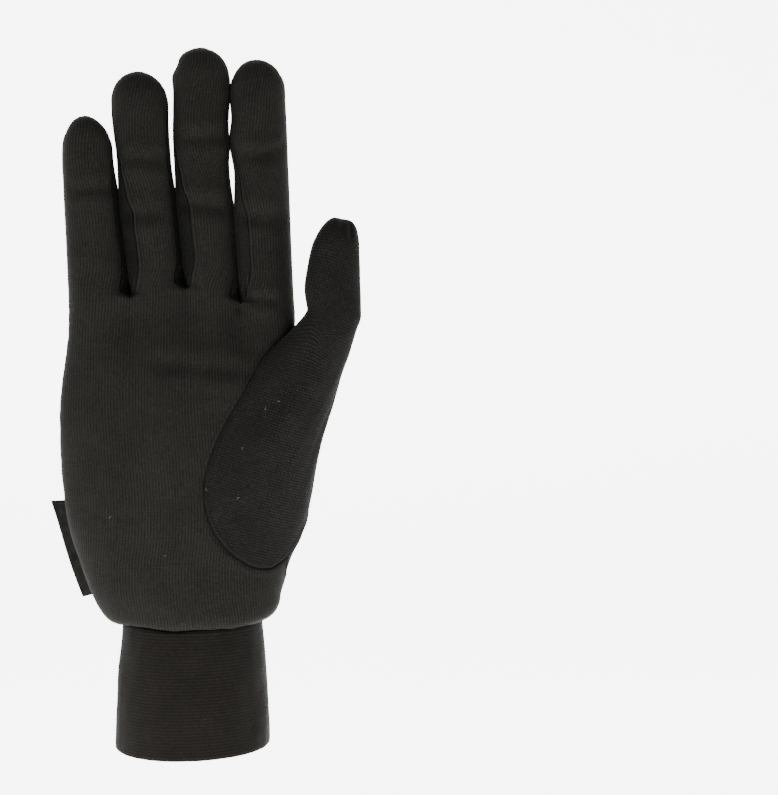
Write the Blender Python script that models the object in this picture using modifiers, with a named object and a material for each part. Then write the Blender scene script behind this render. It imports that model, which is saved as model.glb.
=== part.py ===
"""A knitted glove liner for the right hand, in the form it has when worn.

The cuff mouth is centred on the origin, the fingers point to +Z, the palm faces -Y and the thumb is on
the +X side. Sizes are in metres. The cloth is one skin, worked out ring by ring from the cuff to the
fingertips, and cut along its seams into panels that each have the thickness of the knit.
"""

import math

import bmesh
import bpy
from mathutils import Vector

# Knitted cloth and seams
CLOTH = 0.0012
SEAM_GAP = 0.0003

# Cuff, a double band that is slightly wider at its mouth
CUFF_HEIGHT = 0.0436
CUFF_TOP_WIDTH = 0.0502
CUFF_MOUTH_WIDTH = 0.0555
CUFF_TOP_DEPTH = 0.0420
CUFF_MOUTH_DEPTH = 0.0475
CUFF_WALL = 0.0024
CUFF_ROUNDING = 0.0006
CUFF_SLOPE = 0.07

# Hand, from the cuff seam to the finger crotches
PALM_LENGTH = 0.1184
HAND_WIDTH = 0.0804
PALM_DEPTH = 0.0300
KNUCKLE_HEIGHT = CUFF_HEIGHT + PALM_LENGTH

# Fingers, each one measured from the finger crotches to its tip
LITTLE_LENGTH = 0.0648
RING_LENGTH = 0.0816
MIDDLE_LENGTH = 0.0914
INDEX_LENGTH = 0.0876
FINGER_DEPTH = 0.0175
FINGER_GAP = 0.0008
TIP_ROUNDING = 0.0105

# Strips between the fingers
FOURCHETTE_INSET = 0.0030
FOURCHETTE_TURN = math.radians(18)
FOURCHETTE_TURN_HEIGHT = 0.0150
FOURCHETTE_TAPER = 0.0300
FOURCHETTE_END = 0.0050
CROTCH_RADIUS = 0.0032

# Thumb, whose tube starts level with the crotch between thumb and index finger
THUMB_LENGTH = 0.0395
THUMB_WIDTH = 0.0192
THUMB_DEPTH = 0.0180
THUMB_REACH = 0.0494
THUMB_TIP_SHIFT = 0.0038
THUMB_FORWARD = 0.0125
THUMB_TAPER = 0.86
THUMB_BASE_TILT = 0.0045
THUMB_HOLE_BOTTOM = 0.0650
THUMB_HOLE_TOP = 0.1500
THUMB_HOLLOW = 0.0022

# Label tab in the little-finger side seam
LABEL_LENGTH = 0.0340
LABEL_WIDTH = 0.0079
LABEL_THICKNESS = 0.0010
LABEL_BOTTOM = 0.0550
LABEL_SWEEP = math.radians(42)

# The sections are superellipses, fuller than an ellipse where the power is above 2
HAND_POWER = 2.5
FINGER_POWER = 2.3
CUFF_POWER = 2.1

# Quads across the front of one finger, and across each of its sides
ACROSS = 4
FRONT = 4 * ACROSS
SIDE = 4
AROUND = 2 * (FRONT + SIDE)

# Hand sections: height as a share of PALM_LENGTH, left and right edges as shares of HAND_WIDTH,
# and depth in front of and behind the middle plane as shares of PALM_DEPTH
HAND_SECTIONS = [
    # up, left, right, front, back
    (0.000, -0.301, 0.301, 0.667, 0.667),
    (0.006, -0.345, 0.338, 0.730, 0.710),
    (0.020, -0.381, 0.368, 0.765, 0.735),
    (0.050, -0.413, 0.388, 0.765, 0.720),
    (0.100, -0.445, 0.399, 0.745, 0.670),
    (0.190, -0.495, 0.435, 0.690, 0.590),
    (0.275, -0.536, 0.498, 0.645, 0.540),
    (0.360, -0.560, 0.525, 0.610, 0.510),
    (0.445, -0.572, 0.522, 0.580, 0.490),
    (0.530, -0.581, 0.512, 0.550, 0.475),
    (0.615, -0.585, 0.498, 0.520, 0.460),
    (0.700, -0.581, 0.485, 0.490, 0.450),
    (0.785, -0.567, 0.473, 0.450, 0.430),
    (0.870, -0.551, 0.461, 0.410, 0.405),
    (0.945, -0.546, 0.455, 0.360, 0.370),
    (1.000, -0.547, 0.453, 0.320, 0.340),
]
UP, LEFT, RIGHT, FORWARD, BACKWARD = range(5)

# Fingers: edges as shares of HAND_WIDTH at the crotch, at half length and at the tip, and how far the
# finger stands behind the middle plane as a share of FINGER_DEPTH
FINGERS = [
    # length, left edge, right edge, setback
    (LITTLE_LENGTH, (-0.547, -0.565, -0.585), (-0.271, -0.323, -0.368), -0.06),
    (RING_LENGTH, (-0.271, -0.335, -0.370), (-0.031, -0.086, -0.112), -0.03),
    (MIDDLE_LENGTH, (-0.031, -0.080, -0.094), (0.213, 0.170, 0.172), 0.03),
    (INDEX_LENGTH, (0.213, 0.189, 0.165), (0.453, 0.430, 0.407), -0.03),
]
LENGTH, LEFT_EDGE, RIGHT_EDGE, SETBACK = range(4)

# Depth of a finger at the crotch, at half length and at the tip, as shares of FINGER_DEPTH
FINGER_TAPER = (1.08, 1.0, 0.88)

# Height of each finger crotch above the knuckle line, as a share of FINGER_DEPTH
CROTCH_RISE = (0.0, 0.20, -0.10)

# Creases on the fingers' palm side: height as a share of the finger's length, depth as a share of CLOTH
# and half height as a share of FINGER_DEPTH
CREASES = [
    # finger, height, depth, half height
    (0, 0.56, 0.50, 0.15),
    (1, 0.34, 0.55, 0.17),
    (1, 0.58, 0.60, 0.16),
    (2, 0.36, 0.65, 0.17),
    (2, 0.63, 0.60, 0.16),
    (3, 0.33, 0.60, 0.17),
    (3, 0.61, 0.60, 0.16),
]

# Heights of the rings of a finger, as shares of its crotch, its straight stretch and its rounded tip
CROTCH_RINGS = (0.25, 0.6, 1.0)
SHAFT_RINGS = (0.20, 0.34, 0.48, 0.62, 0.76, 0.88, 1.0)
TIP_RINGS = (0.72, 0.46, 0.26, 0.11, 0.025)

# The height share at which the hand's sections start to take on the fingers' forms
KNUCKLE_BLEND = 0.75

# The opening for the thumb, in columns of the hand's rings and in rows between its sections
HOLE_COLUMNS = (10, 24)
HOLE_ROWS = (4, 14)
HOLE_MIDDLE_BOTTOM = 16.6
HOLE_MIDDLE_TOP = 19.2
HOLE_LEFT_REACH = 6.3
HOLE_RIGHT_REACH = 3.4
HOLE_CUT_BACK = 0.20
HOLE_RINGS = 2

# The thumb's base swells from its opening to the tube through this many rings. It leaves the seam for
# GUSSET_START along the cloth and comes in to the tube for GUSSET_END, each no more than its share of the way
GUSSET_RINGS = 9
GUSSET_START = 0.018
GUSSET_END = 0.006
START_SHARE = 0.45
END_SHARE = 0.40
GUSSET_OUTWARD = (0.75, -0.35, 0.55)
TUBE_RINGS = (0.16, 0.32, 0.48, 0.62)

# How far the place that tells the skin's direction lies from the oval seam to the opening's middle
INWARD_SHARE = 0.05

# Cuff rings: height share, and how far the edge is drawn in as a share of CUFF_ROUNDING
CUFF_RINGS = [(0.0, 1.0), (0.03, 0.0), (0.25, 0.0), (0.5, 0.0), (0.75, 0.0), (1.0, 0.0)]

# Quads along the label and across it
LABEL_ROWS = 6
LABEL_COLUMNS = 2

PALM, BACK, LITTLE_RING, RING_MIDDLE, MIDDLE_INDEX, THUMB = range(6)

# Name, colour and roughness of each piece cut from the skin
PANELS = {
    PALM: ("palm_panel", (0.022, 0.021, 0.018), 0.92),
    BACK: ("back_panel", (0.018, 0.018, 0.016), 0.92),
    LITTLE_RING: ("fourchette_little_ring", (0.011, 0.011, 0.010), 0.94),
    RING_MIDDLE: ("fourchette_ring_middle", (0.011, 0.011, 0.010), 0.94),
    MIDDLE_INDEX: ("fourchette_middle_index", (0.011, 0.011, 0.010), 0.94),
    THUMB: ("thumb", (0.020, 0.020, 0.017), 0.92),
}
CUFF_COLOUR = (0.020, 0.017, 0.014)
LABEL_COLOUR = (0.060, 0.058, 0.054)


def mix(a, b, share):
    return a + (b - a) * share


def ease(share):
    share = min(max(share, 0.0), 1.0)
    return share * share * (3.0 - 2.0 * share)


def power_of(value, power):
    return math.copysign(abs(value) ** power, value)


def through(three, share):
    """Value of the parabola through three numbers at shares 0, one half and 1."""
    start, middle, end = three
    bend = 2.0 * (start + end - 2.0 * middle)
    return start + (4.0 * middle - 3.0 * start - end) * share + bend * share * share


def section_value(column, up):
    """A column of HAND_SECTIONS at any height, on a smooth curve through its rows."""
    rows = HAND_SECTIONS
    k = 0
    while k < len(rows) - 2 and up > rows[k + 1][UP]:
        k += 1
    low, high = rows[k], rows[k + 1]
    span = high[UP] - low[UP]
    share = (up - low[UP]) / span

    def slope(row):
        before, after = rows[max(row - 1, 0)], rows[min(row + 1, len(rows) - 1)]
        return (after[column] - before[column]) / (after[UP] - before[UP])

    square, cube = share * share, share * share * share
    return ((2 * cube - 3 * square + 1) * low[column] + (cube - 2 * square + share) * span * slope(k)
            + (3 * square - 2 * cube) * high[column] + (cube - square) * span * slope(k + 1))


def on_superellipse(angle, half_width, front, back, power):
    """Point at an angle from the +X side, with the front half towards -Y."""
    x = half_width * power_of(math.cos(angle), 2.0 / power)
    depth = front if math.sin(angle) >= 0.0 else back
    return x, -depth * power_of(math.sin(angle), 2.0 / power)


def seam_angle(half_width, power):
    """Angle above the side at which a seam lies FOURCHETTE_INSET in from the widest point."""
    return math.acos((1.0 - FOURCHETTE_INSET / half_width) ** (power / 2.0))


def crotch_x(web):
    return FINGERS[web][RIGHT_EDGE][0] * HAND_WIDTH


def crotch_z(web):
    return CROTCH_RISE[web] * FINGER_DEPTH


def lift(place):
    """Height of the finger bases over the knuckle line at a place across, straight between crotches."""
    heights = [crotch_z(0), crotch_z(0), crotch_z(1), crotch_z(2), crotch_z(2)]
    k = min(int(place // ACROSS), len(heights) - 2)
    return mix(heights[k], heights[k + 1], place / ACROSS - k)


class Finger:
    """One finger's section at any height over the crotch."""

    def __init__(self, number):
        row = FINGERS[number]
        self.number = number
        self.length = row[LENGTH]
        self.left = row[LEFT_EDGE]
        self.right = row[RIGHT_EDGE]
        self.setback = row[SETBACK] * FINGER_DEPTH
        self.left_web = number - 1 if number > 0 else None
        self.right_web = number if number < len(FINGERS) - 1 else None

    def size_at(self, height):
        share = height / self.length
        left = through(self.left, share) * HAND_WIDTH
        right = through(self.right, share) * HAND_WIDTH
        if self.left_web is not None:
            left += FINGER_GAP / 2
        if self.right_web is not None:
            right -= FINGER_GAP / 2
        depth = through(FINGER_TAPER, share) * FINGER_DEPTH / 2
        return left, right, depth

    def crease(self, height):
        dent = 0.0
        for finger, share, depth, half_height in CREASES:
            if finger == self.number:
                offset = (height - share * self.length) / (half_height * FINGER_DEPTH)
                dent += depth * CLOTH * math.exp(-offset * offset)
        return dent

    def point(self, slot, height):
        """A point by its slot from 0 to 16: the left side's middle, front, right side and back."""
        left, right, depth = self.size_at(height)
        below_tip = self.length - height
        roundness = min(below_tip / TIP_ROUNDING, 1.0)
        narrowing = math.sqrt(max(1.0 - (1.0 - roundness) ** 2, 0.0))
        narrow_end = min(max((below_tip - FOURCHETTE_END) / FOURCHETTE_TAPER, 0.0), 1.0)
        taper = 1.0 - (1.0 - narrow_end) ** 2
        open_share = 1.0
        if height < CROTCH_RADIUS:
            open_share = math.sqrt(1.0 - (1.0 - height / CROTCH_RADIUS) ** 2)

        middle = (left + right) / 2
        half_width = (right - left) / 2
        seam = seam_angle(half_width, FINGER_POWER) * taper
        turn = FOURCHETTE_TURN * ease(height / FOURCHETTE_TURN_HEIGHT)
        left_turn = turn if self.left_web is not None else 0.0
        right_turn = turn if self.right_web is not None else 0.0
        angle = slot_angle(slot, seam, left_turn, right_turn)
        x, y = on_superellipse(angle, half_width * narrowing, depth * narrowing, depth * narrowing,
                               FINGER_POWER)
        x += middle
        web, side = self.web_beside(slot)
        if web is not None:
            x = mix(crotch_x(web), x, mix(open_share, 1.0, 1.0 - side))
        y += self.setback * ease(height / self.length)
        facing = max(math.sin(angle), 0.0)
        y += self.crease(height) * facing
        return x, y

    def web_beside(self, slot):
        """The crotch that a slot belongs to, and how fully, from 0 inside the finger to 1 on its side."""
        half = SIDE / 2
        if slot <= half + 1 or slot >= 2 * (ACROSS + SIDE) - half - 1:
            distance = min(slot, 2 * (ACROSS + SIDE) - slot)
            return self.left_web, min(max(half + 1 - distance, 0.0), 1.0)
        middle = half + ACROSS + half
        if abs(slot - middle) <= half + 1:
            return self.right_web, min(max(half + 1 - abs(slot - middle), 0.0), 1.0)
        return None, 0.0


def slot_angle(slot, seam, left_turn, right_turn):
    """Angle of a slot on a finger's ring, from the middle of its left side over its front.

    The strips are turned, so that they show in front on a finger's left side and behind on its right.
    """
    half = SIDE / 2
    if slot < half:
        return math.pi - seam * slot / half - left_turn
    slot -= half
    if slot <= ACROSS:
        return mix(math.pi - seam - left_turn, seam - right_turn, slot / ACROSS)
    slot -= ACROSS
    if slot <= SIDE:
        return mix(seam, -seam, slot / SIDE) - right_turn
    slot -= SIDE
    if slot <= ACROSS:
        return mix(-seam - right_turn, seam - math.pi - left_turn, slot / ACROSS)
    slot -= ACROSS
    return seam * (1.0 - slot / half) - math.pi - left_turn


BASES = [Finger(number) for number in range(len(FINGERS))]


def front_share(place):
    """Share of the hand's width at a place from 0 to 16 across its front, with the seams as guides."""
    left, right = BASES[0].left[0], BASES[-1].right[0]
    inset = FOURCHETTE_INSET / HAND_WIDTH
    guides = [inset] + [base.right[0] - left for base in BASES[:-1]] + [right - left - inset]
    k = min(int(place // ACROSS), len(guides) - 2)
    return mix(guides[k], guides[k + 1], place / ACROSS - k) / (right - left)


def split_column(column):
    """Which stretch of the hand's ring a column lies on, and how far along it."""
    half = SIDE / 2
    column = (column + half) % AROUND
    if column < SIDE:
        return "left", column
    column -= SIDE
    if column <= FRONT:
        return "front", column
    column -= FRONT
    if column < SIDE:
        return "right", column
    return "back", FRONT - (column - SIDE)


def hand_outline(column, up):
    """The plain section of the hand, without the fingers' forms."""
    left = section_value(LEFT, up) * HAND_WIDTH
    right = section_value(RIGHT, up) * HAND_WIDTH
    front = section_value(FORWARD, up) * PALM_DEPTH
    back = section_value(BACKWARD, up) * PALM_DEPTH
    if up <= 0.0:
        right = (CUFF_TOP_WIDTH - CUFF_WALL) / 2
        left = -right
        front = back = (CUFF_TOP_DEPTH - CUFF_WALL) / 2
    half_width = (right - left) / 2
    seam = seam_angle(half_width, HAND_POWER)
    stretch, place = split_column(column)
    if stretch == "left":
        angle = mix(-math.pi + seam, -math.pi - seam, place / SIDE)
    elif stretch == "right":
        angle = mix(seam, -seam, place / SIDE)
    else:
        across = 2.0 * front_share(place) - 1.0
        angle = math.acos(power_of(across, HAND_POWER / 2.0))
        if stretch == "back":
            angle = -angle
    x, y = on_superellipse(angle, half_width, front, back, HAND_POWER)
    return x + (left + right) / 2, y


def finger_place(column):
    """The finger and the slot on its ring that a column of the hand's ring carries on into."""
    half = SIDE // 2
    stretch, place = split_column(column)
    if stretch == "left":
        return BASES[0], (place - half) % (2 * (ACROSS + SIDE))
    if stretch == "right":
        return BASES[-1], half + ACROSS + place
    number = min(int(place // ACROSS), len(BASES) - 1)
    along = place - number * ACROSS
    if stretch == "front":
        return BASES[number], half + along
    return BASES[number], half + 2 * ACROSS + SIDE - along


def hand_point(column, up):
    """A point of the hand's skin, which takes on the fingers' forms towards the knuckles."""
    x, y = hand_outline(column, up)
    share = ease((up - KNUCKLE_BLEND) / (1.0 - KNUCKLE_BLEND))
    stretch, place = split_column(column)
    if share > 0.0:
        finger, slot = finger_place(column)
        finger_x, finger_y = finger.point(slot, 0.0)
        x, y = mix(x, finger_x, share), mix(y, finger_y, share)
    z = CUFF_HEIGHT + SEAM_GAP + up * (PALM_LENGTH - SEAM_GAP)
    level = {"left": 0.0, "right": FRONT}.get(stretch, place)
    z += lift(level) * share
    z += CUFF_SLOPE * x * (1.0 - ease(up / HAND_SECTIONS[HOLE_ROWS[0]][UP]))
    return Vector((x, y, z))


class Skin:
    """The cloth as one surface, whose faces are marked with the panel they belong to."""

    def __init__(self):
        self.mesh = bmesh.new()

    def ring(self, points):
        return [self.mesh.verts.new(point) for point in points]

    def face(self, corners, panel):
        distinct = []
        for corner in corners:
            if corner not in distinct:
                distinct.append(corner)
        if len(distinct) > 2:
            self.mesh.faces.new(distinct).material_index = panel

    def bridge(self, low, high, panel_of):
        count = len(low)
        for k in range(count):
            after = (k + 1) % count
            self.face((low[k], low[after], high[after], high[k]), panel_of(k))


def hand_rows(skin):
    """The hand's rings with the block of columns and rows left out where the thumb starts."""
    rows = []
    for section in HAND_SECTIONS:
        points = [hand_point(column, section[UP]) for column in range(AROUND)]
        rows.append(points)
    first, last = HOLE_COLUMNS
    bottom, top = HOLE_ROWS
    rings = []
    for r, points in enumerate(rows):
        inside = bottom < r < top
        rings.append([None if inside and first < c < last else skin.mesh.verts.new(point)
                      for c, point in enumerate(points)])
    for r in range(len(rings) - 1):
        for c in range(AROUND):
            if bottom <= r < top and first <= c < last:
                continue
            after = (c + 1) % AROUND
            skin.face((rings[r][c], rings[r][after], rings[r + 1][after], rings[r + 1][c]), side_of(c))
    return rings


def side_of(column):
    return PALM if column < AROUND / 2 else BACK


def hole_loop():
    """Columns and rows round the block, from the middle of its top over its left side."""
    first, last = HOLE_COLUMNS
    bottom, top = HOLE_ROWS
    middle = (first + last) // 2
    loop = [(c, top) for c in range(middle, first, -1)]
    loop += [(first, r) for r in range(top, bottom, -1)]
    loop += [(c, bottom) for c in range(first, last)]
    loop += [(last, r) for r in range(bottom, top)]
    loop += [(c, top) for c in range(last, middle, -1)]
    return loop


def hole_edge(column, row):
    """Column and height share of the oval seam, out along the line to a place on the block's edge."""
    first, last = HOLE_COLUMNS
    bottom, top = HOLE_ROWS
    across = (column - (first + last) / 2) / ((last - first) / 2)
    along = (row - (bottom + top) / 2) / ((top - bottom) / 2)
    angle = math.atan2(along, across)
    middle = (THUMB_HOLE_BOTTOM + THUMB_HOLE_TOP) / 2
    z = middle + (THUMB_HOLE_TOP - THUMB_HOLE_BOTTOM) / 2 * math.sin(angle)
    share = (z - THUMB_HOLE_BOTTOM) / (THUMB_HOLE_TOP - THUMB_HOLE_BOTTOM)
    reach = HOLE_RIGHT_REACH if across > 0 else HOLE_LEFT_REACH
    if across < 0:
        reach *= 1.0 + HOLE_CUT_BACK * math.sin(2.0 * angle)
    seam_column = mix(HOLE_MIDDLE_BOTTOM, HOLE_MIDDLE_TOP, share) + reach * math.cos(angle)
    return seam_column, (z - CUFF_HEIGHT) / PALM_LENGTH


def thumb_rows(skin, rings):
    """Rings from the block in to the oval seam, then the thumb from the seam to its tip."""
    loop = hole_loop()
    outer = [rings[r][c] for c, r in loop]
    columns = [c for c, r in loop]
    count = len(loop)

    def panel_of(k):
        return BACK if min(columns[k], columns[(k + 1) % count]) >= AROUND / 2 else PALM

    seam = []
    previous = outer
    for ring in range(1, HOLE_RINGS + 1):
        share = ring / HOLE_RINGS
        points = []
        for c, r in loop:
            seam_column, seam_up = hole_edge(c, r)
            points.append(hand_point(mix(c, seam_column, share), mix(HAND_SECTIONS[r][UP], seam_up, share)))
        current = skin.ring(points)
        skin.bridge(previous, current, panel_of)
        previous, seam = current, points

    inner = [hand_point(*inward(c, r)) for c, r in loop]
    for points in thumb_sections(seam, inner):
        current = skin.ring(points)
        skin.bridge(previous, current, lambda k: THUMB)
        previous = current
    close_tip(skin, previous, THUMB)


def inward(column, row):
    """A place just inside the oval seam, which tells the skin's direction there."""
    seam_column, seam_up = hole_edge(column, row)
    middle_up = ((THUMB_HOLE_BOTTOM + THUMB_HOLE_TOP) / 2 - CUFF_HEIGHT) / PALM_LENGTH
    middle_column = (HOLE_MIDDLE_BOTTOM + HOLE_MIDDLE_TOP) / 2
    return mix(seam_column, middle_column, INWARD_SHARE), mix(seam_up, middle_up, INWARD_SHARE)


def thumb_sections(seam, inner):
    """Rings of points from the oval seam over the thumb's base, then up its tube."""
    count = len(seam)
    base_z = THUMB_HOLE_TOP + SEAM_GAP
    base = [tube_point(k / count, 0.0, base_z) for k in range(count)]
    above = [tube_point(k / count, 0.02, base_z) for k in range(count)]
    for ring in range(1, GUSSET_RINGS + 1):
        share = ring / GUSSET_RINGS
        points = []
        for k in range(count):
            turn = 2.0 * math.pi * k / count
            crotch = ease((math.cos(turn) + 0.1) / 1.1)
            leaving = (inner[k] - seam[k]).normalized()
            outward = Vector(GUSSET_OUTWARD).normalized()
            behind = ease(-math.sin(turn) * 1.3) * (1.0 - crotch)
            leaving = leaving.lerp((base[k] - seam[k]).normalized(), behind)
            leaving = leaving.lerp(outward, crotch).normalized()
            arriving = (above[k] - base[k]).normalized()
            reach = (base[k] - seam[k]).length
            start = min(GUSSET_START, START_SHARE * reach)
            end = min(GUSSET_END, END_SHARE * reach)
            point = bezier(seam[k], seam[k] + leaving * start, base[k] - arriving * end, base[k], share)
            point.x -= THUMB_HOLLOW * math.sin(math.pi * share) ** 2 * ease(-math.cos(turn))
            points.append(point)
        yield points
    for share in TUBE_RINGS:
        yield [tube_point(k / count, share, base_z) for k in range(count)]
    straight = 1.0 - TIP_ROUNDING / THUMB_LENGTH
    for share in (1.0,) + TIP_RINGS:
        yield [tube_point(k / count, 1.0 - (1.0 - straight) * share, base_z) for k in range(count)]


def bezier(a, b, c, d, share):
    rest = 1.0 - share
    return (a * rest ** 3 + b * 3 * rest * rest * share + c * 3 * rest * share * share + d * share ** 3)


def tube_point(turn, share, base_z):
    """A point of the thumb's tube: turns run from its inner side over its front."""
    angle = math.pi - 2.0 * math.pi * turn
    below_tip = (1.0 - share) * THUMB_LENGTH
    roundness = min(below_tip / TIP_ROUNDING, 1.0)
    narrowing = math.sqrt(max(1.0 - (1.0 - roundness) ** 2, 0.0))
    width = THUMB_WIDTH * mix(1.0, THUMB_TAPER, share * share)
    depth = THUMB_DEPTH * mix(1.0, THUMB_TAPER, share)
    x, y = on_superellipse(angle, width / 2 * narrowing, depth / 2 * narrowing, depth / 2 * narrowing,
                           FINGER_POWER)
    z = base_z + share * THUMB_LENGTH - THUMB_BASE_TILT * x / (THUMB_WIDTH / 2) * (1.0 - ease(share / 0.5))
    return Vector((x + THUMB_REACH + THUMB_TIP_SHIFT * share ** 2, y - THUMB_FORWARD, z))


def close_tip(skin, ring, panel):
    """Close a round tip by faces across it, from its front to its back."""
    for k in range(len(ring) // 2):
        skin.face((ring[k], ring[k + 1], ring[-k - 1], ring[-k]), panel)


def finger_rows(skin, finger, base):
    """The rings of one finger above its ring of base points, up to the seam over its tip."""
    slots = 2 * (ACROSS + SIDE)
    half = SIDE // 2
    straight = finger.length - TIP_ROUNDING
    heights = [CROTCH_RADIUS * share for share in CROTCH_RINGS]
    heights += [mix(CROTCH_RADIUS, straight, share) for share in SHAFT_RINGS]
    heights += [finger.length - TIP_ROUNDING * share for share in TIP_RINGS]

    def panel_of(k):
        if k < half or k >= slots - half:
            if finger.left_web is not None:
                return LITTLE_RING + finger.left_web
            return PALM if k < half else BACK
        if k < half + ACROSS:
            return PALM
        if k < half + ACROSS + SIDE:
            if finger.right_web is not None:
                return LITTLE_RING + finger.right_web
            return PALM if k < half + ACROSS + half else BACK
        return BACK

    previous = base
    for height in heights:
        merged = finger.length - height <= FOURCHETTE_END
        ring = []
        for slot in range(slots):
            level = (finger.number * ACROSS) + min(max(slot_level(slot), 0.0), ACROSS)
            x, y = finger.point(slot, height)
            z = KNUCKLE_HEIGHT + height + lift(level) * (1.0 - ease(height / finger.length))
            ring.append(Vector((x, y, z)))
        if merged:
            left_end = skin.mesh.verts.new(ring[0])
            right_end = skin.mesh.verts.new(ring[half + ACROSS + half])
            verts = []
            for slot, point in enumerate(ring):
                if slot <= half or slot >= slots - half:
                    verts.append(left_end)
                elif half + ACROSS <= slot <= half + ACROSS + SIDE:
                    verts.append(right_end)
                else:
                    verts.append(skin.mesh.verts.new(point))
        else:
            verts = skin.ring(ring)
        skin.bridge(previous, verts, panel_of)
        previous = verts
    seam_over_tip(skin, finger, previous)


def slot_level(slot):
    """Distance across a finger, from 0 at its left seam to 4 at its right seam."""
    half = SIDE // 2
    if slot <= half + ACROSS:
        return slot - half
    if slot <= half + ACROSS + SIDE:
        return ACROSS
    return half + 2 * ACROSS + SIDE - slot


def seam_over_tip(skin, finger, ring):
    """The last faces of a finger, whose front and back meet in a seam line over the tip."""
    half = SIDE // 2
    front = ring[half:half + ACROSS + 1]
    back_start = half + ACROSS + SIDE
    back = [ring[(back_start + ACROSS - k) % len(ring)] for k in range(ACROSS + 1)]
    line = [front[0]]
    for k in range(1, ACROSS):
        place = (front[k].co + back[k].co) / 2
        place.z = KNUCKLE_HEIGHT + finger.length
        line.append(skin.mesh.verts.new(place))
    line.append(front[-1])
    for k in range(ACROSS):
        skin.face((front[k], front[k + 1], line[k + 1], line[k]), PALM)
        skin.face((back[k + 1], back[k], line[k], line[k + 1]), BACK)


def build_skin():
    skin = Skin()
    rings = hand_rows(skin)
    knuckles = rings[-1]
    half = SIDE // 2
    webs = []
    for web in range(len(FINGERS) - 1):
        finger = BASES[web]
        points = []
        for step in range(1, SIDE):
            slot = half + ACROSS + step
            x, y = finger.point(slot, 0.0)
            points.append(Vector((x, y, KNUCKLE_HEIGHT + crotch_z(web))))
        webs.append(skin.ring(points))
    left_side = [knuckles[half - 1], knuckles[0], knuckles[-1]]
    right_side = [knuckles[half + FRONT + step] for step in range(1, SIDE)]
    for finger in BASES:
        number = finger.number
        first = half + number * ACROSS
        front = knuckles[first:first + ACROSS + 1]
        far = AROUND - half - number * ACROSS
        back = [knuckles[far - ACROSS + k] for k in range(ACROSS + 1)]
        left = webs[finger.left_web] if finger.left_web is not None else left_side
        right = webs[finger.right_web] if finger.right_web is not None else right_side
        base = [left[1], left[0]] + front + right + back + [left[2]]
        finger_rows(skin, finger, base)
    thumb_rows(skin, rings)
    bmesh.ops.recalc_face_normals(skin.mesh, faces=skin.mesh.faces[:])
    highest = max(skin.mesh.faces, key=lambda face: face.calc_center_median().y)
    if highest.normal.y < 0.0:
        bmesh.ops.reverse_faces(skin.mesh, faces=skin.mesh.faces[:])
    skin.mesh.normal_update()
    return skin.mesh


def panel_shell(skin, panel):
    """One panel of the skin as a closed solid: its outer face, its inner face and its cut edges."""
    faces = [face for face in skin.faces if face.material_index == panel]
    inside = set(faces)
    shell = bmesh.new()
    outer, inner = {}, {}
    for face in faces:
        for vert in face.verts:
            if vert in outer:
                continue
            place = vert.co + seam_shift(vert, inside)
            outer[vert] = shell.verts.new(place)
            inner[vert] = shell.verts.new(place - vert.normal * CLOTH)
    for face in faces:
        shell.faces.new([outer[vert] for vert in face.verts])
        shell.faces.new([inner[vert] for vert in reversed(face.verts)])
        for loop in face.loops:
            if sum(neighbour in inside for neighbour in loop.edge.link_faces) == 1:
                a, b = loop.vert, loop.link_loop_next.vert
                shell.faces.new((outer[b], outer[a], inner[a], inner[b]))
    return shell


def seam_shift(vert, inside):
    """How far a point on a panel's cut edge draws back into the panel to leave half the seam gap."""
    cut = [edge for edge in vert.link_edges if sum(face in inside for face in edge.link_faces) == 1]
    if not cut:
        return Vector((0.0, 0.0, 0.0))
    whole = [edge for edge in vert.link_edges if sum(face in inside for face in edge.link_faces) == 2]
    if whole:
        pull = sum(((edge.other_vert(vert).co - vert.co).normalized() for edge in whole), Vector())
    else:
        pull = sum((face.calc_center_median() - vert.co for face in vert.link_faces if face in inside),
                   Vector())
    pull -= vert.normal * pull.dot(vert.normal)
    return pull.normalized() * SEAM_GAP / 2


def material(name, colour, roughness):
    result = bpy.data.materials.new(name)
    result.use_nodes = True
    shader = result.node_tree.nodes["Principled BSDF"]
    shader.inputs["Base Color"].default_value = (*colour, 1.0)
    shader.inputs["Roughness"].default_value = roughness
    shader.inputs["Metallic"].default_value = 0.0
    return result


def add_object(name, mesh, colour, roughness, collection):
    data = bpy.data.meshes.new(name)
    mesh.to_mesh(data)
    mesh.free()
    data.shade_smooth()
    data.set_sharp_from_angle(angle=math.radians(50))
    piece = bpy.data.objects.new(name, data)
    data.materials.append(material(name, colour, roughness))
    collection.objects.link(piece)
    return piece


def grid(rows, closed):
    """An open surface through rows of points, joined round into a tube when closed."""
    mesh = bmesh.new()
    verts = [[mesh.verts.new(point) for point in row] for row in rows]
    count = len(rows[0])
    for low, high in zip(verts, verts[1:]):
        for k in range(count if closed else count - 1):
            after = (k + 1) % count
            mesh.faces.new((low[k], low[after], high[after], high[k]))
    return mesh


def solidify(piece, thickness, offset):
    wall = piece.modifiers.new("wall", "SOLIDIFY")
    wall.thickness = thickness
    wall.offset = offset
    wall.use_even_offset = True


def add_cuff(collection):
    rows = []
    for up, drawn_in in CUFF_RINGS:
        width = mix(CUFF_MOUTH_WIDTH, CUFF_TOP_WIDTH, up) / 2 - CUFF_ROUNDING * drawn_in
        depth = mix(CUFF_MOUTH_DEPTH, CUFF_TOP_DEPTH, up) / 2 - CUFF_ROUNDING * drawn_in
        row = []
        for k in range(AROUND):
            angle = -2.0 * math.pi * k / AROUND
            x, y = on_superellipse(angle, width, depth, depth, CUFF_POWER)
            row.append(Vector((x, y, up * (CUFF_HEIGHT + CUFF_SLOPE * x))))
        rows.append(row)
    cuff = add_object("cuff", grid(rows, closed=True), CUFF_COLOUR, 0.95, collection)
    solidify(cuff, CUFF_WALL, -1.0)


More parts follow.
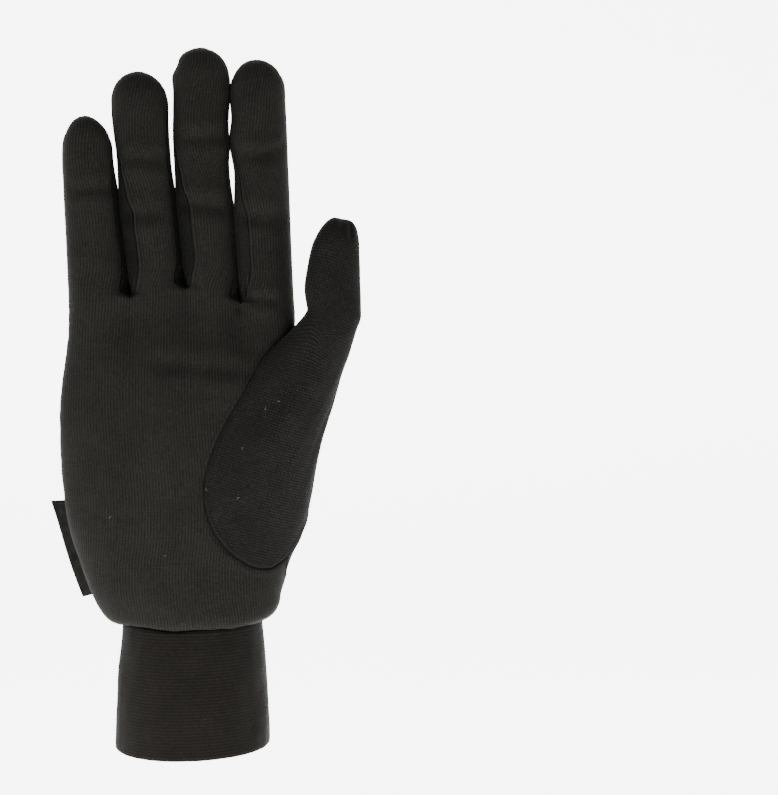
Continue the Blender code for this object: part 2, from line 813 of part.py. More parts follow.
def side_seam(z):
    """The place of the little-finger side seam at a height, on the outer face of the cloth."""
    return hand_point(0, (z - CUFF_HEIGHT) / PALM_LENGTH)


def add_label(collection):
    """A strip that stands out of the side seam, swept towards the back of the hand."""
    rows = []
    for k in range(LABEL_ROWS + 1):
        z = LABEL_BOTTOM + LABEL_LENGTH * k / LABEL_ROWS
        along = (side_seam(z + CLOTH) - side_seam(z - CLOTH)).normalized()
        out = Vector((-math.cos(LABEL_SWEEP), math.sin(LABEL_SWEEP), 0.0))
        out = (out - along * out.dot(along)).normalized()
        away = Vector((-along.z, 0.0, along.x)).normalized()
        start = side_seam(z) + away * (SEAM_GAP + LABEL_THICKNESS / 2)
        rows.append([start + out * (LABEL_WIDTH * step / LABEL_COLUMNS) for step in range(LABEL_COLUMNS + 1)])
    label = add_object("label", grid(rows, closed=False), LABEL_COLOUR, 0.7, collection)
    solidify(label, LABEL_THICKNESS, 0.0)


def build():
    for old in list(bpy.data.objects):
        bpy.data.objects.remove(old, do_unlink=True)
    collection = bpy.data.collections.new("glove_liner")
    bpy.context.scene.collection.children.link(collection)
    skin = build_skin()
    for panel, (name, colour, roughness) in PANELS.items():
        add_object(name, panel_shell(skin, panel), colour, roughness, collection)
    skin.free()
    add_cuff(collection)
    add_label(collection)


build()
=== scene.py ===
"""Looks of the knitted glove liner, built in the frame of its CAD part.

Sizes are in metres unless a comment says millimetres. The cuff mouth is centred on the origin, the
fingers point to +Z, the palm faces -Y and the thumb is on the +X side. The cloth is worked out as one fine
skin with seams, creases and slack, and is then cut along its seams into the same pieces as the CAD part.
"""
import math

import bpy
import numpy as np
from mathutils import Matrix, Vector, noise
from mathutils.kdtree import KDTree


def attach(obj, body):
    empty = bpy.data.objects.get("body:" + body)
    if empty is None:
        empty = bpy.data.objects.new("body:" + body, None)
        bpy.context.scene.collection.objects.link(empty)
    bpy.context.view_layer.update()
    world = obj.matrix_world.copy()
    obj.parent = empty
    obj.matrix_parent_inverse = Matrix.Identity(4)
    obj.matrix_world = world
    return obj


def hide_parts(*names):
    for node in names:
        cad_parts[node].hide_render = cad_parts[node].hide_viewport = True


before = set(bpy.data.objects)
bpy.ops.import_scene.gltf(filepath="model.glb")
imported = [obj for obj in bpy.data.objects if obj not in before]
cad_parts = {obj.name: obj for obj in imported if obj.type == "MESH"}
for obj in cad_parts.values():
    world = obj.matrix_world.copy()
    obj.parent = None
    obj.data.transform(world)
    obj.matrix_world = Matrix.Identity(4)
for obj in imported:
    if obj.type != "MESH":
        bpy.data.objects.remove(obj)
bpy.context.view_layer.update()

MM = 0.001

# Knitted cloth, the gap left between solids at a seam, and how far a piece reaches into that gap
CLOTH = 0.0010
SEAM_GAP = 0.0003
SEAM_SHOWN = 0.00008

# Cuff, a double band that is slightly wider at its mouth
CUFF_HEIGHT = 0.0436
CUFF_TOP_WIDTH = 0.0502
CUFF_MOUTH_WIDTH = 0.0555
CUFF_TOP_DEPTH = 0.0420
CUFF_MOUTH_DEPTH = 0.0475
CUFF_WALL = 0.0024
CUFF_SLOPE = 0.07
CUFF_POWER = 2.1

# Hand, from the cuff seam to the finger crotches
PALM_LENGTH = 0.1184
HAND_WIDTH = 0.0804
PALM_DEPTH = 0.0300
KNUCKLE_HEIGHT = CUFF_HEIGHT + PALM_LENGTH

# Fingers, each one measured from the finger crotches to its tip
LITTLE_LENGTH = 0.0648
RING_LENGTH = 0.0816
MIDDLE_LENGTH = 0.0914
INDEX_LENGTH = 0.0876
FINGER_DEPTH = 0.0175
FINGER_GAP_LOW = 0.0000
FINGER_GAP_HIGH = 0.0010
FINGER_GAP_SLANT = 0.16
GAP_OPENS = 0.033
GAP_OPEN = 0.050
TIP_ROUNDING = 0.0105

# Strips between the fingers
FOURCHETTE_INSET = 0.0030
FOURCHETTE_TURN = math.radians(20)
FOURCHETTE_TURN_HEIGHT = 0.0120
FOURCHETTE_TAPER = 0.0260
FOURCHETTE_END = 0.0040
CROTCH_RADIUS = 0.0032

# Thumb
THUMB_LENGTH = 0.0395
THUMB_WIDTH = 0.0192
THUMB_DEPTH = 0.0180
THUMB_REACH = 0.0494
THUMB_TIP_SHIFT = 0.0038
THUMB_FORWARD = 0.0125
THUMB_TAPER = 0.86
THUMB_BASE_TILT = 0.0045
THUMB_HOLLOW = 0.0026
THUMB_HOLE_BOTTOM = 0.0650
THUMB_HOLE_TOP = 0.1500

# Label tab in the little-finger side seam
LABEL_LENGTH = 0.0340
LABEL_WIDTH = 0.0079
LABEL_THICKNESS = 0.0010
LABEL_BOTTOM = 0.0550
LABEL_SWEEP = math.radians(42)

# The sections are superellipses, fuller than an ellipse where the power is above 2
HAND_POWER = 2.5
FINGER_POWER = 2.3

# Quads across the front of one finger and across each of its sides
STEP = 5
ACROSS = 4 * STEP
FRONT = 4 * ACROSS
SIDE = 4 * STEP
AROUND = 2 * (FRONT + SIDE)
SLOTS = 2 * (ACROSS + SIDE)
ROW_SPACING = 0.0011

# Hand sections: height as a share of PALM_LENGTH, left and right edges as shares of HAND_WIDTH,
# and depth in front of and behind the middle plane as shares of PALM_DEPTH
HAND_SECTIONS = [
    # up, left, right, front, back
    (0.000, -0.301, 0.301, 0.667, 0.667),
    (0.006, -0.345, 0.338, 0.730, 0.710),
    (0.020, -0.381, 0.368, 0.765, 0.735),
    (0.050, -0.413, 0.388, 0.765, 0.720),
    (0.100, -0.445, 0.399, 0.745, 0.670),
    (0.190, -0.495, 0.435, 0.690, 0.590),
    (0.275, -0.536, 0.498, 0.645, 0.540),
    (0.360, -0.560, 0.525, 0.610, 0.510),
    (0.445, -0.572, 0.522, 0.580, 0.490),
    (0.530, -0.581, 0.512, 0.550, 0.475),
    (0.615, -0.585, 0.498, 0.520, 0.460),
    (0.700, -0.581, 0.485, 0.490, 0.450),
    (0.785, -0.567, 0.473, 0.450, 0.430),
    (0.870, -0.551, 0.461, 0.410, 0.405),
    (0.945, -0.546, 0.455, 0.360, 0.370),
    (1.000, -0.547, 0.453, 0.320, 0.340),
]
UP, LEFT, RIGHT, FORWARD, BACKWARD = range(5)

# Fingers: edges as shares of HAND_WIDTH at the crotch, at half length and at the tip, and how far the
# finger stands behind the middle plane as a share of FINGER_DEPTH
FINGERS = [
    # length, left edge, right edge, setback
    (LITTLE_LENGTH, (-0.547, -0.565, -0.585), (-0.271, -0.323, -0.368), -0.06),
    (RING_LENGTH, (-0.271, -0.335, -0.370), (-0.031, -0.086, -0.112), -0.03),
    (MIDDLE_LENGTH, (-0.031, -0.080, -0.094), (0.213, 0.170, 0.172), 0.03),
    (INDEX_LENGTH, (0.213, 0.189, 0.165), (0.453, 0.430, 0.407), -0.03),
]
LENGTH, LEFT_EDGE, RIGHT_EDGE, SETBACK = range(4)
FINGER_TAPER = (1.08, 1.0, 0.88)
CROTCH_RISE = (0.0, 0.20, -0.10)

# Shares of the crotch's height and of the tip's rounding at which rings lie
CROTCH_RINGS = (0.04, 0.12, 0.25, 0.42, 0.6, 0.8, 1.0)
TIP_RINGS = 11

# Share of PALM_LENGTH from which the hand's rings take on the fingers' forms
KNUCKLE_BLEND = 0.75

# The opening for the thumb, in columns of the hand's rings and in rows between its sections
HOLE_COLUMNS = (10 * STEP, 24 * STEP)
HOLE_ROWS = (4, 14)
HOLE_MIDDLE_BOTTOM = 16.6 * STEP
HOLE_MIDDLE_TOP = 19.2 * STEP
HOLE_LEFT_REACH = 6.3 * STEP
HOLE_RIGHT_REACH = 3.4 * STEP
HOLE_CUT_BACK = 0.20
HOLE_RINGS = 9

# The cloth between the oval seam and the thumb's tube: rings, the lengths over which it leaves the seam and
# arrives at the tube, their most as shares of the way between, and the way that it leaves at the crotch
GUSSET_RINGS = 42
GUSSET_START = 0.018
GUSSET_END = 0.006
START_SHARE = 0.45
END_SHARE = 0.40
GUSSET_OUTWARD = (0.75, -0.35, 0.55)

# How far round the crotch reaches, and how soon the cloth behind it takes the straight way
GUSSET_CROTCH = 0.1
GUSSET_BEHIND = 1.3
INWARD_SHARE = 0.05

# The share of the thumb's tube over which its tilted base evens out, and places just above its base and
# just below a tip
TILT_SHARE = 0.5
JUST_ABOVE = 0.02
LAST_TIP_SHARE = 0.004

# The ways that the thumb's knit runs
THUMB_ALONG = Vector((0.30, -0.05, 0.95)).normalized()
THUMB_ACROSS = Vector((0.95, 0.0, -0.30)).normalized()

# Height over which a finger's knit turns from the hand's places to its own
KNIT_BLEND = 0.015

PALM, BACK, LITTLE_RING, RING_MIDDLE, MIDDLE_INDEX, THUMB = range(6)
PANELS = {
    # panel: node, knit
    PALM: ("palm_panel", "jersey knit"),
    BACK: ("back_panel", "jersey knit"),
    # The strips' knits carry painted shade, darker towards the palm side, for the shade between the fingers
    LITTLE_RING: ("fourchette_little_ring", "painted shade strip knit"),
    RING_MIDDLE: ("fourchette_ring_middle", "painted shade strip knit"),
    MIDDLE_INDEX: ("fourchette_middle_index", "index painted shade strip knit"),
    THUMB: ("thumb", "thumb knit"),
}


def mix(a, b, share):
    return a + (b - a) * share


def ease(share):
    share = min(max(share, 0.0), 1.0)
    return share * share * (3.0 - 2.0 * share)


def power_of(value, power):
    return math.copysign(abs(value) ** power, value)


def through(three, share):
    """Value of the parabola through three numbers at shares 0, one half and 1."""
    start, middle, end = three
    bend = 2.0 * (start + end - 2.0 * middle)
    return start + (4.0 * middle - 3.0 * start - end) * share + bend * share * share


def section_value(column, up):
    """A column of HAND_SECTIONS at any height, on a smooth curve through its rows."""
    rows = HAND_SECTIONS
    k = 0
    while k < len(rows) - 2 and up > rows[k + 1][UP]:
        k += 1
    low, high = rows[k], rows[k + 1]
    span = high[UP] - low[UP]
    share = (up - low[UP]) / span

    def slope(row):
        before, after = rows[max(row - 1, 0)], rows[min(row + 1, len(rows) - 1)]
        return (after[column] - before[column]) / (after[UP] - before[UP])

    square, cube = share * share, share * share * share
    return ((2 * cube - 3 * square + 1) * low[column] + (cube - 2 * square + share) * span * slope(k)
            + (3 * square - 2 * cube) * high[column] + (cube - square) * span * slope(k + 1))


def on_superellipse(angle, half_width, front, back, power):
    """Point at an angle from the +X side, with the front half towards -Y."""
    x = half_width * power_of(math.cos(angle), 2.0 / power)
    depth = front if math.sin(angle) >= 0.0 else back
    return x, -depth * power_of(math.sin(angle), 2.0 / power)


def seam_angle(half_width, power):
    """Angle above the side at which a seam lies FOURCHETTE_INSET in from the widest point."""
    return math.acos((1.0 - FOURCHETTE_INSET / half_width) ** (power / 2.0))


def round_end(below_tip):
    """Share of its width that a section keeps at a distance below a rounded tip."""
    roundness = min(below_tip / TIP_ROUNDING, 1.0)
    return math.sqrt(max(1.0 - (1.0 - roundness) ** 2, 0.0))


def crotch_x(web):
    return FINGERS[web][RIGHT_EDGE][0] * HAND_WIDTH


def crotch_z(web):
    return CROTCH_RISE[web] * FINGER_DEPTH


def lift(place):
    """Height of the finger bases over the knuckle line at a place across, straight between crotches."""
    heights = [crotch_z(0), crotch_z(0), crotch_z(1), crotch_z(2), crotch_z(2)]
    k = min(int(place // ACROSS), len(heights) - 2)
    return mix(heights[k], heights[k + 1], place / ACROSS - k)


def slot_angle(slot, left_seam, right_seam, left_turn, right_turn):
    """Angle of a slot on a finger's ring, from the middle of its left side over its front."""
    half = SIDE / 2
    if slot < half:
        return math.pi - left_seam * slot / half - left_turn
    slot -= half
    if slot <= ACROSS:
        return mix(math.pi - left_seam - left_turn, right_seam - right_turn, slot / ACROSS)
    slot -= ACROSS
    if slot <= SIDE:
        return mix(right_seam, -right_seam, slot / SIDE) - right_turn
    slot -= SIDE
    if slot <= ACROSS:
        return mix(-right_seam - right_turn, left_seam - math.pi - left_turn, slot / ACROSS)
    slot -= ACROSS
    return left_seam * (1.0 - slot / half) - math.pi - left_turn


# A strip narrows on the little-finger side of each finger towards its tip: the height where this starts,
# over what height it does, and the share that is kept
STRIP_NARROWS = 0.026
STRIP_NARROWING = 0.034
STRIP_NARROW_SHARE = 0.35

# Swells of the fingers' edges, in millimetres: height over the knuckle line, reach and how far out
EDGE_SWELLS = [
    # finger, edge, height, reach, out
    (0, LEFT_EDGE, 62.0, 8.0, -1.2),
    (1, LEFT_EDGE, 66.0, 9.0, 0.4),
    (2, LEFT_EDGE, 52.0, 15.0, 0.9),
    (2, LEFT_EDGE, 79.5, 2.5, 0.35),
    (2, LEFT_EDGE, 84.5, 2.0, -0.7),
    (2, RIGHT_EDGE, 57.0, 4.0, 0.45),
    (2, RIGHT_EDGE, 74.0, 6.0, 0.45),
    (3, LEFT_EDGE, 50.0, 14.0, 0.7),
    (3, LEFT_EDGE, 58.5, 7.0, 1.5),
    (3, LEFT_EDGE, 74.0, 7.0, 1.0),
]


def finger_edge(number, edge, height):
    """Side place of a finger's left or right edge at a height."""
    row = FINGERS[number]
    place = through(row[edge], height / row[LENGTH]) * HAND_WIDTH
    for finger, swollen, middle, reach, out in EDGE_SWELLS:
        if (finger, swollen) == (number, edge):
            swell = out * MM * math.exp(-((height / MM - middle) / reach) ** 2)
            place += swell if edge == RIGHT_EDGE else -swell
    return place


class Finger:
    """One finger's section at any height over the crotch."""

    def __init__(self, number):
        row = FINGERS[number]
        self.number = number
        self.length = row[LENGTH]
        self.left = row[LEFT_EDGE]
        self.right = row[RIGHT_EDGE]
        self.setback = row[SETBACK] * FINGER_DEPTH
        self.left_web = number - 1 if number > 0 else None
        self.right_web = number if number < len(FINGERS) - 1 else None

    def size_at(self, height):
        share = height / self.length
        left = finger_edge(self.number, LEFT_EDGE, height)
        right = finger_edge(self.number, RIGHT_EDGE, height)
        opening = self.opening(height)
        gap = mix(FINGER_GAP_LOW, FINGER_GAP_HIGH, opening)
        if self.left_web is not None:
            beside = finger_edge(self.number - 1, RIGHT_EDGE, height)
            left = mix((left + beside) / 2, left, opening) + gap / 2
        if self.right_web is not None:
            beside = finger_edge(self.number + 1, LEFT_EDGE, height)
            right = mix((right + beside) / 2, right, opening) - gap / 2
        depth = through(FINGER_TAPER, share) * FINGER_DEPTH / 2
        return left, right, depth

    def opening(self, height):
        """How far the fingers have come apart at a height, from 0 to 1."""
        return ease((height - GAP_OPENS) / (GAP_OPEN - GAP_OPENS))

    def point(self, slot, height):
        """A point by its slot: the left side's middle, front, right side and back."""
        left, right, depth = self.size_at(height)
        below_tip = self.length - height
        narrowing = round_end(below_tip)
        narrow_end = min(max((below_tip - FOURCHETTE_END) / FOURCHETTE_TAPER, 0.0), 1.0)
        taper = 1.0 - (1.0 - narrow_end) ** 2
        open_share = 1.0
        if height < CROTCH_RADIUS:
            open_share = math.sqrt(1.0 - (1.0 - height / CROTCH_RADIUS) ** 2)
        middle = (left + right) / 2
        half_width = (right - left) / 2
        rise = ease((height - STRIP_NARROWS) / STRIP_NARROWING)
        seam = seam_angle(half_width, FINGER_POWER) * taper
        narrow_seam = seam * mix(1.0, STRIP_NARROW_SHARE, rise)
        turn = FOURCHETTE_TURN * ease(height / FOURCHETTE_TURN_HEIGHT)
        left_turn = turn * (1.0 - rise) if self.left_web is not None else 0.0
        right_turn = turn if self.right_web is not None else 0.0
        angle = slot_angle(slot, narrow_seam, seam, left_turn, right_turn)
        x, y = on_superellipse(angle, half_width * narrowing, depth * narrowing, depth * narrowing,
                               FINGER_POWER)
        x += middle
        web, side = self.web_beside(slot)
        if web is not None:
            x = mix(crotch_x(web), x, mix(open_share, 1.0, 1.0 - side))
            x += FINGER_GAP_SLANT * y * side * open_share * (1.0 - self.opening(height))
        y += self.setback * ease(height / self.length)
        return x, y

    def web_beside(self, slot):
        """The crotch that a slot belongs to, and how fully, from 0 inside the finger to 1 on its side."""
        half = SIDE / 2
        if slot <= half + STEP or slot >= SLOTS - half - STEP:
            distance = min(slot, SLOTS - slot)
            return self.left_web, min(max((half + STEP - distance) / STEP, 0.0), 1.0)
        middle = half + ACROSS + half
        if abs(slot - middle) <= half + STEP:
            return self.right_web, min(max((half + STEP - abs(slot - middle)) / STEP, 0.0), 1.0)
        return None, 0.0


BASES = [Finger(number) for number in range(len(FINGERS))]


def front_share(place):
    """Share of the hand's width at a place across its front, with the seams as guides."""
    left, right = BASES[0].left[0], BASES[-1].right[0]
    inset = FOURCHETTE_INSET / HAND_WIDTH
    guides = [inset] + [base.right[0] - left for base in BASES[:-1]] + [right - left - inset]
    k = min(int(place // ACROSS), len(guides) - 2)
    return mix(guides[k], guides[k + 1], place / ACROSS - k) / (right - left)


def split_column(column):
    """Which stretch of the hand's ring a column lies on, and how far along it."""
    half = SIDE / 2
    column = (column + half) % AROUND
    if column < SIDE:
        return "left", column
    column -= SIDE
    if column <= FRONT:
        return "front", column
    column -= FRONT
    if column < SIDE:
        return "right", column
    return "back", FRONT - (column - SIDE)


def hand_outline(column, up):
    """The plain section of the hand, without the fingers' forms."""
    left = section_value(LEFT, up) * HAND_WIDTH
    right = section_value(RIGHT, up) * HAND_WIDTH
    front = section_value(FORWARD, up) * PALM_DEPTH
    back = section_value(BACKWARD, up) * PALM_DEPTH
    if up <= 0.0:
        right = (CUFF_TOP_WIDTH - CUFF_WALL) / 2
        left = -right
        front = back = (CUFF_TOP_DEPTH - CUFF_WALL) / 2
    half_width = (right - left) / 2
    seam = math.acos(power_of(1.0 - 2.0 * front_share(0), HAND_POWER / 2.0))
    stretch, place = split_column(column)
    if stretch == "left":
        angle = mix(-math.pi + seam, -math.pi - seam, place / SIDE)
    elif stretch == "right":
        angle = mix(seam, -seam, place / SIDE)
    else:
        across = 2.0 * front_share(place) - 1.0
        angle = math.acos(power_of(across, HAND_POWER / 2.0))
        if stretch == "back":
            angle = -angle
    x, y = on_superellipse(angle, half_width, front, back, HAND_POWER)
    return x + (left + right) / 2, y


def finger_place(column):
    """The finger and the slot on its ring that a column of the hand's ring carries on into."""
    half = SIDE // 2
    stretch, place = split_column(column)
    if stretch == "left":
        return BASES[0], (place - half) % SLOTS
    if stretch == "right":
        return BASES[-1], half + ACROSS + place
    number = min(int(place // ACROSS), len(BASES) - 1)
    along = place - number * ACROSS
    if stretch == "front":
        return BASES[number], half + along
    return BASES[number], half + 2 * ACROSS + SIDE - along


def hand_point(column, up):
    """A point of the hand's skin, which takes on the fingers' forms towards the knuckles."""
    x, y = hand_outline(column, up)
    share = ease((up - KNUCKLE_BLEND) / (1.0 - KNUCKLE_BLEND))
    stretch, place = split_column(column)
    if share > 0.0:
        finger, slot = finger_place(column)
        finger_x, finger_y = finger.point(slot, 0.0)
        x, y = mix(x, finger_x, share), mix(y, finger_y, share)
    z = CUFF_HEIGHT + SEAM_GAP + up * (PALM_LENGTH - SEAM_GAP)
    level = {"left": 0.0, "right": FRONT}.get(stretch, place)
    z += lift(level) * share
    z += CUFF_SLOPE * x * (1.0 - ease(up / HAND_SECTIONS[HOLE_ROWS[0]][UP]))
    return Vector((x, y, z))


class Skin:
    """The cloth as one surface: points, the panels of its faces, and places on the knit in millimetres."""

    def __init__(self):
        self.points = []
        self.front_knit = []
        self.back_knit = []
        self.faces = []
        self.panels = []

    def ring(self, points, front_knit, back_knit):
        first = len(self.points)
        self.points.extend(points)
        self.front_knit.extend(front_knit)
        self.back_knit.extend(back_knit)
        return list(range(first, len(self.points)))

    def face(self, corners, panel):
        distinct = []
        for corner in corners:
            if corner not in distinct:
                distinct.append(corner)
        if len(distinct) > 2:
            self.faces.append(tuple(distinct))
            self.panels.append(panel)

    def bridge(self, low, high, panel_of):
        count = len(low)
        for k in range(count):
            after = (k + 1) % count
            self.face((low[k], low[after], high[after], high[k]), panel_of(k))


def lengths_round(points):
    """Distance along a closed ring to each of its points, and the whole way round, in millimetres."""
    total = 0.0
    result = [0.0]
    for a, b in zip(points, points[1:] + points[:1]):
        total += math.dist(a, b) / MM
        result.append(total)
    return result


def side_of(column):
    return PALM if column < AROUND / 2 else BACK


def hand_levels():
    """Row coordinates of the hand's fine rings, whole numbers being the rows of HAND_SECTIONS."""
    levels = []
    for k in range(len(HAND_SECTIONS) - 1):
        span = (HAND_SECTIONS[k + 1][UP] - HAND_SECTIONS[k][UP]) * PALM_LENGTH
        steps = max(2, round(span / ROW_SPACING))
        levels += [k + step / steps for step in range(steps)]
    return levels + [float(len(HAND_SECTIONS) - 1)]


def up_at(level):
    k = min(int(level), len(HAND_SECTIONS) - 2)
    return mix(HAND_SECTIONS[k][UP], HAND_SECTIONS[k + 1][UP], level - k)


def hand_knit(points):
    """Places on the knit round one ring of the hand, for the palm side and for the back."""
    lengths = lengths_round(points)
    front_middle = lengths[AROUND // 4]
    back_middle = lengths[3 * AROUND // 4]
    front = [(lengths[k] - front_middle, points[k].z / MM) for k in range(AROUND)]
    back = [(lengths[k or AROUND] - back_middle, points[k].z / MM) for k in range(AROUND)]
    return front, back


def hand_rows(skin, levels):
    """The hand's rings with the block of columns and rows left out where the thumb starts."""
    first, last = HOLE_COLUMNS
    bottom, top = HOLE_ROWS
    rings = []
    for level in levels:
        up = up_at(level)
        points = [hand_point(column, up) for column in range(AROUND)]
        front, back = hand_knit(points)
        inside = bottom < level < top
        kept = [c for c in range(AROUND) if not (inside and first < c < last)]
        made = skin.ring([points[c] for c in kept], [front[c] for c in kept], [back[c] for c in kept])
        ring = [None] * AROUND
        for c, vert in zip(kept, made):
            ring[c] = vert
        rings.append(ring)
    for r in range(len(rings) - 1):
        for c in range(AROUND):
            if bottom <= levels[r] < top and first <= c < last:
                continue
            after = (c + 1) % AROUND
            skin.face((rings[r][c], rings[r][after], rings[r + 1][after], rings[r + 1][c]), side_of(c))
    return rings


def hole_loop(levels):
    """Columns and rows round the block, from the middle of its top over its left side."""
    first, last = HOLE_COLUMNS
    bottom, top = (levels.index(float(row)) for row in HOLE_ROWS)
    middle = (first + last) // 2
    loop = [(c, top) for c in range(middle, first, -1)]
    loop += [(first, r) for r in range(top, bottom, -1)]
    loop += [(c, bottom) for c in range(first, last)]
    loop += [(last, r) for r in range(bottom, top)]
    loop += [(c, top) for c in range(last, middle, -1)]
    return loop


def hole_edge(column, level):
    """Column and height share of the oval seam, out along the line to a place on the block's edge."""
    first, last = HOLE_COLUMNS
    bottom, top = HOLE_ROWS
    across = (column - (first + last) / 2) / ((last - first) / 2)
    along = (level - (bottom + top) / 2) / ((top - bottom) / 2)
    angle = math.atan2(along, across)
    middle = (THUMB_HOLE_BOTTOM + THUMB_HOLE_TOP) / 2
    z = middle + (THUMB_HOLE_TOP - THUMB_HOLE_BOTTOM) / 2 * math.sin(angle)
    share = (z - THUMB_HOLE_BOTTOM) / (THUMB_HOLE_TOP - THUMB_HOLE_BOTTOM)
    reach = HOLE_RIGHT_REACH if across > 0 else HOLE_LEFT_REACH
    if across < 0:
        reach *= 1.0 + HOLE_CUT_BACK * math.sin(2.0 * angle)
    seam_column = mix(HOLE_MIDDLE_BOTTOM, HOLE_MIDDLE_TOP, share) + reach * math.cos(angle)
    return seam_column, (z - CUFF_HEIGHT) / PALM_LENGTH


def bezier(a, b, c, d, share):
    rest = 1.0 - share
    return a * rest ** 3 + b * 3 * rest * rest * share + c * 3 * rest * share * share + d * share ** 3


def tube_point(turn, share, base_z):
    """A point of the thumb's tube: turns run from its inner side over its front."""
    angle = math.pi - 2.0 * math.pi * turn
    narrowing = round_end((1.0 - share) * THUMB_LENGTH)
    width = THUMB_WIDTH * mix(1.0, THUMB_TAPER, share * share)
    depth = THUMB_DEPTH * mix(1.0, THUMB_TAPER, share)
    x, y = on_superellipse(angle, width / 2 * narrowing, depth / 2 * narrowing, depth / 2 * narrowing,
                           FINGER_POWER)
    tilt = THUMB_BASE_TILT * x / (THUMB_WIDTH / 2) * (1.0 - ease(share / TILT_SHARE))
    z = base_z + share * THUMB_LENGTH - tilt
    return Vector((x + THUMB_REACH + THUMB_TIP_SHIFT * share ** 2, y - THUMB_FORWARD, z))


def tip_shares(count):
    """Shares of the tip's rounding still above a ring, even along the round end."""
    return [1.0 - math.sin(math.pi / 2 * step / count) for step in range(1, count)] + [LAST_TIP_SHARE]


def inward(column, level):
    """A place just inside the oval seam, which tells the skin's direction there."""
    seam_column, seam_up = hole_edge(column, level)
    middle_up = ((THUMB_HOLE_BOTTOM + THUMB_HOLE_TOP) / 2 - CUFF_HEIGHT) / PALM_LENGTH
    middle_column = (HOLE_MIDDLE_BOTTOM + HOLE_MIDDLE_TOP) / 2
    return mix(seam_column, middle_column, INWARD_SHARE), mix(seam_up, middle_up, INWARD_SHARE)


def thumb_sections(seam, inner):
    """Rings of points from the oval seam over the thumb's base, then up its tube."""
    count = len(seam)
    base_z = THUMB_HOLE_TOP + SEAM_GAP
    base = [tube_point(k / count, 0.0, base_z) for k in range(count)]
    above = [tube_point(k / count, JUST_ABOVE, base_z) for k in range(count)]
    ways = []
    for k in range(count):
        turn = 2.0 * math.pi * k / count
        crotch = ease((math.cos(turn) + GUSSET_CROTCH) / (1.0 + GUSSET_CROTCH))
        leaving = (inner[k] - seam[k]).normalized()
        behind = ease(-math.sin(turn) * GUSSET_BEHIND) * (1.0 - crotch)
        leaving = leaving.lerp((base[k] - seam[k]).normalized(), behind)
        leaving = leaving.lerp(Vector(GUSSET_OUTWARD).normalized(), crotch).normalized()
        arriving = (above[k] - base[k]).normalized()
        reach = (base[k] - seam[k]).length
        start = min(GUSSET_START, START_SHARE * reach)
        end = min(GUSSET_END, END_SHARE * reach)
        ways.append((seam[k], seam[k] + leaving * start, base[k] - arriving * end, base[k]))
    for ring in range(1, GUSSET_RINGS + 1):
        share = ring / GUSSET_RINGS
        points = [bezier(*way, share) for way in ways]
        for k, point in enumerate(points):
            outer_side = ease(-math.cos(2.0 * math.pi * k / count))
            point.x -= THUMB_HOLLOW * math.sin(math.pi * share) ** 2 * outer_side
        yield points
    straight = 1.0 - TIP_ROUNDING / THUMB_LENGTH
    steps = round(straight * THUMB_LENGTH / ROW_SPACING)
    for step in range(1, steps + 1):
        yield [tube_point(k / count, straight * step / steps, base_z) for k in range(count)]
    for share in tip_shares(TIP_RINGS):
        yield [tube_point(k / count, 1.0 - (1.0 - straight) * share, base_z) for k in range(count)]


def thumb_knit(points):
    """Places on the thumb's knit, whose wales run along the thumb."""
    return [(point.dot(THUMB_ACROSS) / MM, point.dot(THUMB_ALONG) / MM) for point in points]


def thumb_rows(skin, rings, levels):
    """Rings from the block in to the oval seam, then the thumb from the seam to its tip."""
    loop = hole_loop(levels)
    outer = [rings[r][c] for c, r in loop]
    columns = [c for c, r in loop]
    count = len(loop)

    def panel_of(k):
        return BACK if min(columns[k], columns[(k + 1) % count]) >= AROUND / 2 else PALM

    previous = outer
    seam = []
    for ring in range(1, HOLE_RINGS + 1):
        share = ring / HOLE_RINGS
        points, front, back = [], [], []
        for c, r in loop:
            seam_column, seam_up = hole_edge(c, levels[r])
            column = mix(c, seam_column, share)
            up = mix(up_at(levels[r]), seam_up, share)
            point = hand_point(column, up)
            points.append(point)
            front.append((column_length(column, up) - column_length(AROUND / 4, up), point.z / MM))
            back.append((column_length(column, up) - column_length(3 * AROUND / 4, up), point.z / MM))
        current = skin.ring(points, front, back)
        skin.bridge(previous, current, panel_of)
        previous, seam = current, points
    inner = [hand_point(*inward(c, levels[r])) for c, r in loop]
    for points in thumb_sections(seam, inner):
        knit = thumb_knit(points)
        current = skin.ring(points, knit, knit)
        skin.bridge(previous, current, lambda k: THUMB)
        previous = current
    for k in range(count // 2):
        skin.face((previous[k], previous[k + 1], previous[-k - 1], previous[-k]), THUMB)


LENGTH_TABLE = {}


def column_length(column, up):
    """Distance round the hand's ring from column 0 to a column, in millimetres."""
    key = round(up, 2)
    if key not in LENGTH_TABLE:
        LENGTH_TABLE[key] = lengths_round([hand_point(c, key) for c in range(AROUND)])
    table = LENGTH_TABLE[key]
    k = min(int(column), AROUND - 1)
    return mix(table[k], table[k + 1], column - k)


def slot_level(slot):
    """Distance across a finger, from 0 at its left seam to ACROSS at its right seam."""
    half = SIDE // 2
    if slot <= half + ACROSS:
        return slot - half
    if slot <= half + ACROSS + SIDE:
        return ACROSS
    return half + 2 * ACROSS + SIDE - slot


def finger_heights(finger):
    straight = finger.length - TIP_ROUNDING
    steps = round((straight - CROTCH_RADIUS) / ROW_SPACING)
    heights = [CROTCH_RADIUS * share for share in CROTCH_RINGS]
    heights += [mix(CROTCH_RADIUS, straight, step / steps) for step in range(1, steps + 1)]
    heights += [finger.length - TIP_ROUNDING * share for share in tip_shares(TIP_RINGS)[:-1]]
    return heights


